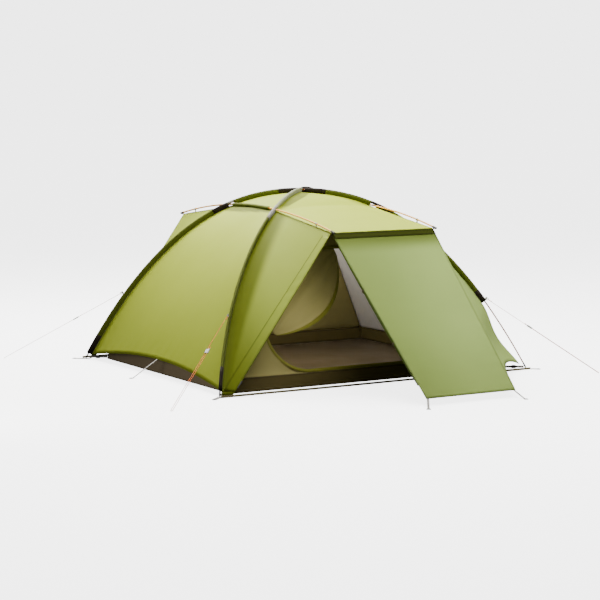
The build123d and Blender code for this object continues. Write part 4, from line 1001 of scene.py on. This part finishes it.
SLEEVE_RUNS = [
    (-FOOT + BREAK / 2, -CROSSING - RIDGE_BREAK / DIAGONAL),
    (-CROSSING + RIDGE_BREAK / DIAGONAL, -CROWN_BREAK / DIAGONAL),
    (CROWN_BREAK / DIAGONAL, CROSSING - RIDGE_BREAK / DIAGONAL),
    (CROSSING + RIDGE_BREAK / DIAGONAL, SLEEVE_END),
]
SLEEVES = (False, "arch_sleeve_a", SLEEVE_RADIUS), (True, "arch_sleeve_b", SLIM_SLEEVE_RADIUS)
for over, name, radius in SLEEVES:
    profile = teardrop(radius, SLEEVE_TAIL)
    runs = []
    for place, run in enumerate(SLEEVE_RUNS):
        # Arch B's run from the crossing to the crown takes the grey strip with its painted highlight
        finish = 1 if over and place == 1 else 0
        runs.append(arch_sweep(over, *run, profile, finish, SLEEVE_SWELL))
    sleeve = mesh_piece(f"{name}_cloth", runs, [sleeve_olive, crown_grey_highlight], SLEEVE_THICKNESS)
    settle(sleeve, [name])


def arch_speed(over, s, step=1e-3):
    """Length of pole for each unit of station."""
    return float(np.linalg.norm(arch_point(over, s + step) - arch_point(over, s - step)) / (2 * step))


# Patches on the sleeves' ends, and saddles that carry them over the ridge poles
SADDLE_TURN = np.linspace(-SADDLE_LAP, math.pi + SADDLE_LAP, 19)
patch_grids = []
for over, radius in ((False, SLEEVE_RADIUS), (True, SLIM_SLEEVE_RADIUS)):
    patch_profile = teardrop(radius, SLEEVE_TAIL, PATCH_LIFT)
    saddle = (radius + PATCH_LIFT) * np.stack([np.cos(SADDLE_TURN), np.sin(SADDLE_TURN)], -1)
    spans = [
        (-FOOT, FOOT_PATCH, 0),
        (SLEEVE_RUNS[0][1], -CROSSING_PATCH, 1 if over else 0),
        (SLEEVE_RUNS[1][1], -CROWN_PATCH, 0),
        (SLEEVE_RUNS[2][0], CROWN_PATCH, 0),
        (SLEEVE_RUNS[3][0], CROSSING_PATCH, 0),
        (SLEEVE_RUNS[3][1], -OPEN_END_PATCH, 0),
    ]
    for station, reach, finish in spans:
        if over and station == SLEEVE_RUNS[1][1]:
            continue
        stop = station + reach / arch_speed(over, station)
        patch_grids.append(arch_sweep(over, station, stop, patch_profile, finish))
    bridges = [(-CROSSING, RIDGE_BREAK, 1), (CROSSING, RIDGE_BREAK, 0)]
    if over:
        bridges.append((0.0, CROWN_BREAK, 0))
    for station, reach, finish in bridges:
        half = reach / DIAGONAL
        patch_grids.append(arch_sweep(over, station - half, station + half, saddle, finish, closed=False))
    web = line_points(np.array([0, -POLE_RADIUS - FIT_GAP]), np.array([0, -SLEEVE_TAIL]), 3)
    if not over:
        half = CROWN_BREAK / DIAGONAL
        patch_grids.append(arch_sweep(over, -half, half, web, closed=False))
patches = mesh_piece("sleeve_patch_cloth", patch_grids, [patch_dark, webbing_grey], PATCH_THICKNESS)
settle(patches, ["sleeve_patches"])

ridge_profile = teardrop(RIDGE_SLEEVE_RADIUS, RIDGE_SLEEVE_TAIL)
ridge_grids = []
for end in (LEFT, RIGHT):
    y = np.linspace(-CROSSING_Y + RIDGE_SLEEVE_START, CROSSING_Y - RIDGE_SLEEVE_STOP, 60)
    path = ridge_point(end, y)
    outward = unit(path - np.array([end * RIDGE_OFFSET, 0, RIDGE_TOP - RIDGE_RADIUS]))
    across = np.cross(tangents(path), -outward)
    ridge_grids.append({"points": sweep(path, across, outward, ridge_profile), "closed": True})
ridge_sleeve = mesh_piece("ridge_sleeve_cloth", ridge_grids, [zip_olive], SLEEVE_THICKNESS)
settle(ridge_sleeve, ["ridge_sleeves"])


# Fly panels
def fly_piece(name, grids, finish, stands_for, body="tent"):
    """Fly panel as a stretched sheet."""
    made = mesh_piece(name, grids, [finish], FLY_THICKNESS)
    return settle(made, stands_for, body)


def fade(value, start, width):
    """Smooth rise from 0 at the start to 1 a width further."""
    return smooth_step((value - start) / width)


def lightened(tone, share):
    """From a tone of painted shade up to 1 as the share goes from 0 to 1."""
    return tone + (1 - tone) * share


def end_painted_shade(u, v, from_left, from_top):
    """Painted shade: a dark band under a ridge sleeve, a fainter one beside the back leg, and darker toward the
    ground.
    """
    low = lightened(END_FOOT_TONE, fade(v, 0, END_FOOT_RISE))
    under = fade(from_top, END_HOLLOW - END_HOLLOW_TAPER * u, END_HOLLOW_FADE)
    return low * under * lightened(END_LEG_TONE, fade(from_left, 0, END_LEG_FADE))


def roof_painted_shade(u, v, from_left, from_top):
    """Painted shadow on an awning roof beside the left leg, above the crossing."""
    above = fade(v, AWNING_TURN, ROOF_HOLLOW_RISE)
    share = np.clip((v - AWNING_TURN) / (1 - AWNING_TURN), 0, 1)
    reach = ROOF_HOLLOW + ROOF_HOLLOW_SWELL * np.sin(math.pi * share)
    return 1 - above * (1 - fade(from_left, reach, ROOF_HOLLOW_FADE))


def side_painted_shade(u, v, from_left, from_top):
    """Painted shade on a side panel beside its leg, wider toward the ground, and painted shade darkening its
    foot.
    """
    painted_hollow_shade = fade(u, SIDE_HOLLOW - SIDE_HOLLOW_TAPER * v, SIDE_HOLLOW_FADE)
    return painted_hollow_shade * fade(v, SIDE_FOOT_START, SIDE_FOOT_RISE)


def flap_painted_shade(u, v, from_left, from_top):
    """The side panel's painted shade, with a dark line where the flap is sewn on."""
    return side_painted_shade(u, v, from_left, from_top) * fade(from_left, FLAP_SEAM, FLAP_SEAM_FADE)


def door_painted_shade(u, v, from_left, from_top):
    """Painted shadow under the awning's hem band, a little painted shade at the left, and painted shade
    darkening the foot.
    """
    left = lightened(DOOR_LEFT_TONE, fade(u, DOOR_LEFT_START, DOOR_LEFT_FADE))
    foot = lightened(DOOR_FOOT_TONE, fade(v, 0, DOOR_FOOT_RISE))
    return fade(from_top, DOOR_HOLLOW, DOOR_HOLLOW_FADE) * (left * foot)


def wing_painted_shade(u, v, from_left, from_top):
    """Painted shade on a wing panel under the awning, narrower toward its leg."""
    return fade(from_top, WING_HOLLOW + WING_HOLLOW_TAPER * (1 - u), WING_HOLLOW_FADE)


for end, place in ((LEFT, "left"), (RIGHT, "right")):
    panel = cloth_panel(*end_panel(end), rise=END_HEM_RISE, seed=1 + end, cols=91, tone=end_painted_shade)
    fly_piece(f"{place}_end_cloth", [panel], fly_green, [f"fly_{place}_end"])
    roof = cloth_panel(*roof_panel(end), seed=4 + end, pucker=ROOF_PUCKER)
    fly_piece(f"{place}_roof_cloth", [roof], fly_green, [f"fly_roof_{place}"])

for side, place in ((FRONT, "front"), (BACK, "back")):
    roof = cloth_panel(*awning_panel(side), seed=7 + side, pucker=ROOF_PUCKER, cols=81, rows=81,
                       tone=roof_painted_shade)
    fly_piece(f"{place}_roof_cloth", [roof], fly_green, [f"fly_roof_{place}"])
    narrow = cloth_panel(*side_panel(side), low=SIDE_HEM, high=PANEL_TOP, seed=10 + side, tone=side_painted_shade)
    fly_piece(f"{place}_left_side_cloth", [narrow], side_shaded_green, [f"{place}_left_side"])
    wing = cloth_panel(*wing_panel(side), rise=WING_HEM_RISE, high=PANEL_TOP, seed=13 + side, cols=81,
                       tone=wing_painted_shade)
    fly_piece(f"{place}_right_side_cloth", [wing], door_green, [f"{place}_right_side"])
    door = cloth_panel(*door_panel(side), high=PANEL_TOP, seed=16 + side, tone=door_painted_shade)
    fly_piece(f"{place}_door_cloth", [door], door_green, [f"{place}_door"])

# Small square of cloth that closes the crown under the crossing poles
crown_edges = [between(leg_seam(end, BACK, BREAK), leg_seam(end, FRONT, BREAK)) for end in (LEFT, RIGHT)]
crown = cloth_panel(*crown_edges, no_bulge, pucker=0.0, cols=9, rows=9)
fly_piece("crown_cloth", [crown], fly_green, [])

closed_leaf = cloth_panel(*leaf_panel(BACK), high=LEAF_TOP, seed=20)
fly_piece("back_leaf_cloth", [closed_leaf], door_green, ["back_leaf"], "back_leaf")

hems = []
for side in (FRONT, BACK):
    lift = unit(np.array([0, side, 1.0])) * HEM_BAND_LIFT
    hems.append(cloth_panel(*door_panel(side), low=HEM_BAND_START, high=PANEL_TOP, shift=lift,
                            pucker=HEM_PUCKER, rows=13))
hem_bands = mesh_piece("awning_hem_cloth", hems, [hem_olive], FLY_THICKNESS)
settle(hem_bands, ["awning_hems"])

SIDE_NORMAL = unit(np.array([-0.6, -0.75, 0.28]))
flap = cloth_panel(*side_panel(FRONT), low=FLAP_START, high=FLAP_STOP, strip=FLAP_WIDTH,
                   shift=SIDE_NORMAL * FLAP_LIFT, pucker=FLAP_PUCKER, seed=23, cols=37, tone=flap_painted_shade)
storm_flap = mesh_piece("storm_flap_cloth", [flap], [side_shaded_green], FLY_THICKNESS)
settle(storm_flap, ["storm_flap"])


def zip_coil(path, radius, pitch):
    """Zip coil: a round bar whose radius swells once for each turn of the coil."""
    steps = int(np.linalg.norm(path[-1] - path[0]) / pitch) * 4
    line = line_points(path[0], path[-1], steps)
    swell = radius * (1 - ZIP_SWELL + ZIP_SWELL * np.sin(np.arange(steps) * math.pi / 2))
    return round_cord(line, swell, 8)


coils = []
for side in (FRONT, BACK):
    edge = between(zip_foot(side), awning_corner(LEFT, side) - UP * ZIP_TOP_DROP)
    ends = edge(np.array([ZIP_START, ZIP_STOP])) + zip_away(side) * ZIP_OFFSET
    coils.append(zip_coil(ends, ZIP_RADIUS, ZIP_PITCH))
settle(mesh_piece("fly_zip_coils", coils, [zip_olive]), ["fly_zips"])

# Front leaf, rolled into a spiral and tied behind the left edge of the door
LEAF_INSIDE = unit(np.array([0.0, 0.7, -0.7])) * (LEAF_ROLL_RADIUS + LEAF_ROLL_GAP)
LEAF_INSIDE = LEAF_INSIDE + LEAF_ROLL_SHIFT * np.array([1.0, 0, 0])
LEAF_FOOT = door_corner(LEFT, FRONT) + LEAF_INSIDE
LEAF_HEAD = awning_corner(LEFT, FRONT) + LEAF_INSIDE
LEAF_AXIS = unit(LEAF_HEAD - LEAF_FOOT)
LEAF_ACROSS = unit(np.cross(LEAF_AXIS, UP))
LEAF_UP = np.cross(LEAF_ACROSS, LEAF_AXIS)


def leaf_radius(share):
    """Radius of the rolled leaf, slender at both ends."""
    return LEAF_ROLL_END_RADIUS + (LEAF_ROLL_RADIUS - LEAF_ROLL_END_RADIUS) * np.sin(math.pi * share)


def leaf_spiral():
    """Rolled leaf: a spiral whose radius grows evenly with its angle, pinched where the ties are."""
    share = np.linspace(ROLL_START, ROLL_STOP, 70)[:, None]
    turn = np.linspace(0, 2 * math.pi * LEAF_TURNS, 24 * LEAF_TURNS)[None, :]
    pinch = 1 - ROLL_PINCH * sum(np.exp(-((share - tie) / ROLL_PINCH_LENGTH) ** 2) for tie in LEAF_TIES)
    reach = leaf_radius(share) * pinch * (ROLL_CORE + ROLL_GROWTH * turn / turn.max())
    reach = reach * (1 + ROLL_RIPPLE * np.sin(share * 60 + turn))
    centre = LEAF_FOOT + (LEAF_HEAD - LEAF_FOOT) * share[..., None]
    return centre + scaled(LEAF_ACROSS, reach * np.cos(turn)) + scaled(LEAF_UP, reach * np.sin(turn))


spiral = leaf_spiral()
# Painted shade darkens the whole rolled leaf
roll = {"points": spiral, "tone": np.full(spiral.shape[:2], ROLL_PAINTED_SHADE)}
leaf_roll = mesh_piece("front_leaf_roll_cloth", [roll], [door_green], ROLL_THICKNESS)
front_leaf = cloth_panel(*leaf_panel(FRONT), high=LEAF_TOP)["points"]
settle(leaf_roll, ["front_leaf_roll"])

tie_grids = []
for share in LEAF_TIES:
    turn = np.linspace(0, 2 * math.pi, 41)
    reach = float(leaf_radius(share)) + FIT_GAP + WEBBING / 2
    circle = scaled(LEAF_ACROSS, np.cos(turn)) + scaled(LEAF_UP, np.sin(turn))
    tie_grids.append(strap(LEAF_FOOT + (LEAF_HEAD - LEAF_FOOT) * share + reach * circle, LEAF_AXIS))
settle(mesh_piece("leaf_tie_straps", tie_grids, [webbing_olive]), ["leaf_ties"])

# Inner tent
def ring_corner(outward, turn, half_length, half_depth, height):
    """Corner of a level rectangle, at the end of the side that faces outward."""
    outward = np.array([*outward, 0.0])
    along = np.array([-outward[1], outward[0], 0.0])
    reach, half = (half_length, half_depth) if outward[0] else (half_depth, half_length)
    return outward * reach + along * turn * half + UP * height


WALL_FOOT = FLOOR_HALF_LENGTH - CLOTH - TUB_LEAN, FLOOR_HALF_DEPTH - CLOTH - TUB_LEAN, TUB_HEIGHT
WALL_HEAD = INNER_TOP_HALF, INNER_TOP_HALF, INNER_TOP


def wall_frame(outward):
    """Middle of an inner wall's foot, the directions along, up and out of the wall, and its sizes."""
    foot = [ring_corner(outward, turn, *WALL_FOOT) for turn in (-1, 1)]
    head = [ring_corner(outward, turn, *WALL_HEAD) for turn in (-1, 1)]
    rise = (head[0] + head[1]) / 2 - (foot[0] + foot[1]) / 2
    along = unit(foot[1] - foot[0])
    halves = [np.linalg.norm(edge[1] - edge[0]) / 2 for edge in (foot, head)]
    sizes = *halves, np.linalg.norm(rise)
    return (foot[0] + foot[1]) / 2, along, unit(rise), unit(np.cross(along, rise)), sizes


def on_wall(outward, flat, out=0.0):
    """Points of a wall from its own flat coordinates, moved out of its plane."""
    origin, along, rise, normal, _ = wall_frame(outward)
    out = np.broadcast_to(out, flat.shape[:-1])
    return origin + scaled(along, flat[..., 0]) + scaled(rise, flat[..., 1]) + scaled(normal, out)


def arc_through(start, middle, end, count):
    """Points of the circular arc through three flat points."""
    (ax, ay), (bx, by), (cx, cy) = start, middle, end
    d = 2 * (ax * (by - cy) + bx * (cy - ay) + cx * (ay - by))
    a, b, c = ax**2 + ay**2, bx**2 + by**2, cx**2 + cy**2
    centre_x = a * (by - cy) + b * (cy - ay) + c * (ay - by)
    centre_y = a * (cx - bx) + b * (ax - cx) + c * (bx - ax)
    centre = np.array([centre_x, centre_y]) / d
    turns = np.unwrap([math.atan2(p[1] - centre[1], p[0] - centre[0]) for p in (start, middle, end)])
    turn = np.linspace(turns[0], turns[2], count)
    reach = math.hypot(ax - centre[0], ay - centre[1])
    return centre + reach * np.stack([np.cos(turn), np.sin(turn)], -1)


def doorway_outline(margin=0.0):
    """D-shaped doorway: a level sill, round lower corners and an arch through the shoulders to the top."""
    half, sill, top = DOORWAY_HALF_WIDTH - margin, DOORWAY_SILL + margin, DOORWAY_TOP - margin
    corner = DOORWAY_CORNER - margin
    shoulder = DOORWAY_SHOULDER[0] - margin, DOORWAY_SHOULDER[1] - margin
    turn = np.linspace(-math.pi / 2, 0, 24)
    low = np.array([half - corner, sill + corner]) + corner * np.stack([np.cos(turn), np.sin(turn)], -1)
    arch = arc_through((half, sill + corner), shoulder, (0, top), 60)
    right = np.concatenate([line_points(np.array([0, sill]), low[0], 12), low[1:], arch[1:]])
    return np.concatenate([right, (right * [-1, 1])[::-1][1:-1]])


def pierced_wall(outward):
    """Inner wall with its doorway: rays from the doorway's middle run from its outline to the wall's edge."""
    half_foot, half_head, height = wall_frame(outward)[4]
    corners = np.array([(-half_foot, 0), (half_foot, 0), (half_head, height), (-half_head, height)])
    corners = corners - DOORWAY_MIDDLE
    even = np.linspace(-math.pi, math.pi, 240, endpoint=False)
    angles = np.sort(np.concatenate([even, np.arctan2(corners[:, 1], corners[:, 0])]))
    angles = np.append(angles, angles[0] + 2 * math.pi)
    flat = ring_grid(doorway_outline() - DOORWAY_MIDDLE, polygon_outline(corners), angles, 12)
    share = np.linspace(0, 1, 12)[None, :]
    sag = -PIERCED_SAG * np.sin(math.pi * share) * (1 + 0.5 * np.sin(angles * 9)[:, None])
    return {"points": on_wall(outward, flat + DOORWAY_MIDDLE, sag)}


def plain_wall(outward, sag, seed):
    """Inner wall as a cloth panel between its two sloping edges."""
    foot = [ring_corner(outward, turn, *WALL_FOOT) for turn in (-1, 1)]
    head = [ring_corner(outward, turn, *WALL_HEAD) for turn in (-1, 1)]
    inward = -wall_frame(outward)[3] * sag
    edges = between(foot[0], head[0]), between(foot[1], head[1])
    return cloth_panel(*edges, lambda share: scaled(inward, np.sin(math.pi * share)), seed=seed)


def binding(outward, margin, width, lift):
    """Tape along the doorway's outline, flat in the wall."""
    outline = doorway_outline(margin)
    outline = np.concatenate([outline, outline[:1]])
    path = on_wall(outward, outline, lift)
    normal = wall_frame(outward)[3]
    return ribbon(path, np.cross(tangents(path), normal), width, WEBBING)


def inner_piece(name, grids, finish, stands_for, body="tent"):
    """Inner tent cloth as a sheet."""
    made = mesh_piece(name, grids, [finish], INNER_THICKNESS)
    return settle(made, stands_for, body)


for place in ("front", "back"):
    wall = pierced_wall(SIDES[place])
    made = mesh_piece(f"inner_{place}_wall_cloth", [wall], [inner_beige], INNER_THICKNESS)
    half_foot, half_head, height = wall_frame(SIDES[place])[4]
    # The doorway leaves less cloth than a sheet may declare: this is the least area taken, not the wall's own
    settle(made, [f"inner_{place}_wall"])
    tape = binding(SIDES[place], BINDING_MARGIN, BINDING_WIDTH, BINDING_LIFT)
    settle(mesh_piece(f"inner_{place}_door_binding", [tape], [binding_olive]), [])

for place, seed in (("left", 31), ("right", 32)):
    wall = plain_wall(SIDES[place], END_WALL_SAG, seed)
    inner_piece(f"inner_{place}_wall_cloth", [wall], end_pale, [f"inner_{place}_wall"])

outline = doorway_outline(BACK_DOOR_MARGIN) - DOORWAY_MIDDLE
turns = np.linspace(-math.pi, math.pi, 161)
disc = ring_grid(outline * 0.001, outline, turns, 24)
back_door_grid = {"points": on_wall(SIDES["back"], disc + DOORWAY_MIDDLE, BACK_DOOR_LIFT)}
back_inner_door = mesh_piece("inner_back_door_cloth", [back_door_grid], [inner_beige], INNER_THICKNESS)
settle(back_inner_door, ["inner_back_door"], "inner_back_door")

roof_u = np.linspace(-INNER_TOP_HALF, INNER_TOP_HALF, 31)
roof_x, roof_y = np.meshgrid(roof_u, roof_u, indexing="ij")
roof_sag = INNER_ROOF_SAG * (1 - (roof_x / INNER_TOP_HALF) ** 2) * (1 - (roof_y / INNER_TOP_HALF) ** 2)
inner_top = {"points": np.stack([roof_x, roof_y, INNER_TOP + CLOTH - roof_sag], -1)}
inner_piece("inner_roof_cloth", [inner_top], inner_beige, ["inner_roof"])


def limp_door(start, stop, cols, rows=61):
    """Limp inner door between its sewn edge on the doorway's arch and its free edge, a curve below it.

    Across the width the cloth waves in and out of the wall's plane as a sine, more toward the free edge.
    """
    corner = np.array([-DOORWAY_HALF_WIDTH, DOORWAY_SILL + DOORWAY_CORNER])
    share = np.linspace(start, stop, cols)[:, None]
    up = np.linspace(LIMP_START, LIMP_STOP, rows)
    sewn_arc = arc_through(corner, (-DOORWAY_SHOULDER[0], DOORWAY_SHOULDER[1]), (0, DOORWAY_TOP), 400)
    grid = np.linspace(0, 1, 400)
    sewn = np.stack([np.interp(up, grid, sewn_arc[:, k]) for k in (0, 1)], -1)
    pull, top = np.array(LIMP_EDGE_PULL), np.array(LIMP_EDGE_TOP)
    u = up[:, None]
    free = corner * (1 - u) ** 2 + pull * 2 * u * (1 - u) + top * u**2
    flat = sewn[None] * (1 - share[..., None]) + free[None] * share[..., None]
    middle = np.sin(math.pi * up)
    wave = FOLD_DEPTH * np.sin(2 * math.pi * DOOR_FOLDS * share) * middle
    wave = wave * (SEWN_FOLD_SHARE + (1 - SEWN_FOLD_SHARE) * share)
    fine = FINE_FOLD * np.sin(2 * math.pi * FINE_FOLDS * share + 5 * up) * middle * share * (1 - share)
    fall = FOLD_DEPTH * (1 - (1 - share) ** 4) + LIMP_FALL * share * middle
    out = LIMP_CLEARANCE + fall + wave + fine
    return {"points": on_wall(SIDES["front"], flat, out)}


limp = limp_door(0.0, LIMP_ZIP, 61)
inner_piece("inner_door_cloth", [limp], inner_beige, ["inner_door"],
            "inner_door")
limp_edge = mesh_piece("inner_door_zip_tape", [limp_door(LIMP_ZIP, 1.0, 7)], [binding_olive], TAPE_THICKNESS)
settle(limp_edge, ["inner_door_zip"], "inner_door")

floor_x, floor_y = np.meshgrid(np.linspace(-1, 1, 61), np.linspace(-1, 1, 61), indexing="ij")
floor_wave = FLOOR_WAVE + FLOOR_WAVE * np.sin(floor_x * 9 + 2 * floor_y) * np.sin(floor_y * 7 - floor_x)
floor_x, floor_y = floor_x * (FLOOR_HALF_LENGTH - CLOTH), floor_y * (FLOOR_HALF_DEPTH - CLOTH)
tub_floor = {"points": np.stack([floor_x, floor_y, floor_wave + FLOOR_LIFT], -1)}
inner_piece("inner_floor_cloth", [tub_floor], floor_taupe, ["inner_floor"])

tub_grids = []
for seed, (place, outward) in enumerate(SIDES.items()):
    low = FLOOR_HALF_LENGTH - CLOTH, FLOOR_HALF_DEPTH - CLOTH, TUB_FOOT
    foot = [ring_corner(outward, turn, *low) for turn in (-1, 1)]
    head = [ring_corner(outward, turn, *WALL_FOOT) for turn in (-1, 1)]
    edges = between(foot[0], head[0]), between(foot[1], head[1])
    wall = cloth_panel(*edges, no_bulge, seed=40 + seed, pucker=TUB_PUCKER, rows=13)
    # Painted shade darkens every tub wall but the left one
    wall["tone"] = np.full(wall["points"].shape[:2], 1.0 if place == "left" else TUB_PAINTED_SHADE)
    tub_grids.append(wall)
tub = mesh_piece("tub_wall_cloth", tub_grids, [tub_brown], INNER_THICKNESS)
settle(tub, ["tub_walls"])


# Webbing
def pin_foot(end, side):
    """Point on the ground under the pin of a pole's foot tip."""
    foot = arch_point(end == side, end * FOOT)
    down = unit(foot - arch_point(end == side, end * (FOOT - 0.01)))
    tip = foot + down * ((FOOT_TIP_HEIGHT - TIP_END_HEIGHT) / -down[2])
    return np.array([tip[0], tip[1], 0.0])


def corner_direction(end, side):
    """Level direction outward along the diagonal of a corner."""
    return unit(np.array([end * HALF_LENGTH, side * HALF_DEPTH, 0.0]))


def flat_ring(centre, along, inner, outer, height, rows=4):
    """Flat pierced plate on the ground between a hole and its outline, along and across a level direction."""
    across = np.cross(UP, along)
    angles = ring_angles(outer[:: max(1, len(outer) // 40)])
    flat = ring_grid(inner, outer, angles, rows)
    return {"points": centre + scaled(along, flat[..., 0]) + scaled(across, flat[..., 1]) + UP * height}


def tab_outline(back, front, shoulder, half):
    """Plate with a square back and a front whose corners are cut from a share of its reach."""
    low = [(back, -half), (front * shoulder, -half), (front, -half * TAB_NOSE)]
    return polygon_outline(low + [(x, -y) for x, y in low[::-1]], 20)


tab_grids = []
for end, side in CORNERS:
    pin, along = pin_foot(end, side), corner_direction(end, side)
    split = EYELET_REACH / 2
    half = TAB_WIDTH / 2
    heel = TAB_HEEL * TAB_CUT
    near = [(-TAB_HEEL, -half * TAB_CUT), (-heel, -half), (split, -half)]
    near = polygon_outline(near + [(x, -y) for x, y in near[::-1]], 20)
    far = tab_outline(-split, TAB_REACH - EYELET_REACH, TAB_SHOULDER, half)
    tab_grids.append(flat_ring(pin, along, circle_outline(PIN_EYELET_HOLE), near, TAB_THICKNESS / 2))
    eyelet = pin + along * EYELET_REACH
    tab_grids.append(flat_ring(eyelet, along, circle_outline(EYELET_HOLE), far, TAB_THICKNESS / 2))
tabs = mesh_piece("corner_tab_webbing", tab_grids, [webbing_grey], TAB_THICKNESS * PLATE_SHARE)
settle(tabs, ["corner_tabs"])


def peg_loop(start, peg):
    """Strap from a hem down to a flat ring round a peg's place."""
    level = unit((peg - start) * [1, 1, 0])
    landing = peg - level * (EYELET_HOLE + LOOP_LANDING) + UP * TAB_THICKNESS / 2
    path = line_points(start, landing, 24)
    ring = flat_ring(peg, level, circle_outline(EYELET_HOLE), circle_outline(LOOP_RADIUS), TAB_THICKNESS / 2)
    return strap(path, np.cross(UP, level)), ring


loop_straps, loop_rings = [], []
for end, side in CORNERS:
    shift = -DOOR_PEG_SHIFT if end == LEFT else 0
    peg = np.array([door_corner(end, side)[0] + shift, side * DOOR_PEG_REACH, 0.0])
    band, ring = peg_loop(door_corner(end, side) - [end * DOOR_LOOP_INSET, 0, 0], peg)
    loop_straps.append(band)
    loop_rings.append(ring)
settle(mesh_piece("door_loop_webbing", loop_straps, [webbing_grey]), ["door_loops"])
hem_straps = []
for end in (LEFT, RIGHT):
    left, right, bulge = end_panel(end)
    start = (left(END_HEM_RISE) + right(END_HEM_RISE)) / 2 + bulge(np.array(END_HEM_RISE))
    band, ring = peg_loop(start, np.array([end * HEM_PEG_REACH, 0.0, 0.0]))
    hem_straps.append(band)
    loop_rings.append(ring)
settle(mesh_piece("hem_tie_webbing", hem_straps, [webbing_grey]), ["hem_ties"])
settle(mesh_piece("peg_ring_webbing", loop_rings, [webbing_grey], TAB_THICKNESS * PLATE_SHARE), [])

base_grids = []
for side in (FRONT, BACK):
    left = np.array([LEFT * BASE_STRAP_REACH, side * BASE_STRAP_Y, WEBBING_WIDTH / 2 + WEBBING])
    path = line_points(left, left * [-1, 1, 1], 120)
    path[:, 1] += BASE_STRAP_WAVE * np.sin(path[:, 0] * 5)
    base_grids.append(strap(path, UP))
settle(mesh_piece("base_strap_webbing", base_grids, [webbing_olive]), ["base_straps"])

corner_grids, hanger_grids = [], []
for end, side in CORNERS:
    outward = corner_direction(end, side)
    tub_corner = np.array([end * FLOOR_HALF_LENGTH, side * FLOOR_HALF_DEPTH, CORNER_STRAP_HEIGHT])
    tub_corner = tub_corner - outward * CORNER_STRAP_SEAT
    foot = pin_foot(end, side) + UP * CORNER_STRAP_HEIGHT - outward * CORNER_STRAP_STOP
    corner_grids.append(strap(line_points(tub_corner, foot, 12), UP))
    inset = INNER_TOP_HALF - HANGER_INSET
    low = np.array([end * inset, side * inset, INNER_TOP + HANGER_START])
    path = line_points(low, leg_seam(end, side, CROSSING) - UP * CLOTH, 12)
    hanger_grids.append(strap(path, [-side, end, 0.0]))
settle(mesh_piece("corner_strap_webbing", corner_grids, [webbing_grey]), ["corner_straps"])
settle(mesh_piece("inner_hanger_webbing", hanger_grids, [webbing_grey]), ["inner_hangers"])

guy_tab_grids = []
for end, side in CORNERS:
    start, along, across, _ = guy_frame(end, side)
    centre = start + across * GUY_TURN_RADIUS - along * (GUY_TAB_HOLE + GUY_TAB_RIM / 2)
    up = np.cross(across, along)
    half = GUY_TAB_WIDTH / 2
    back, front = -GUY_TAB_BACK + GUY_TAB_HOLE + GUY_TAB_RIM / 2, GUY_TAB_HOLE + GUY_TAB_RIM
    plate = tab_outline(back, front, GUY_TAB_SHOULDER, half)
    flat = ring_grid(circle_outline(GUY_TAB_HOLE), plate, ring_angles(plate[::20]), 4)
    guy_tab_grids.append({"points": centre + scaled(along, flat[..., 0]) + scaled(up, flat[..., 1])})
guy_tabs = mesh_piece("guy_tab_webbing", guy_tab_grids, [webbing_grey], GUY_TAB_THICKNESS)
settle(guy_tabs, ["guy_tabs"])
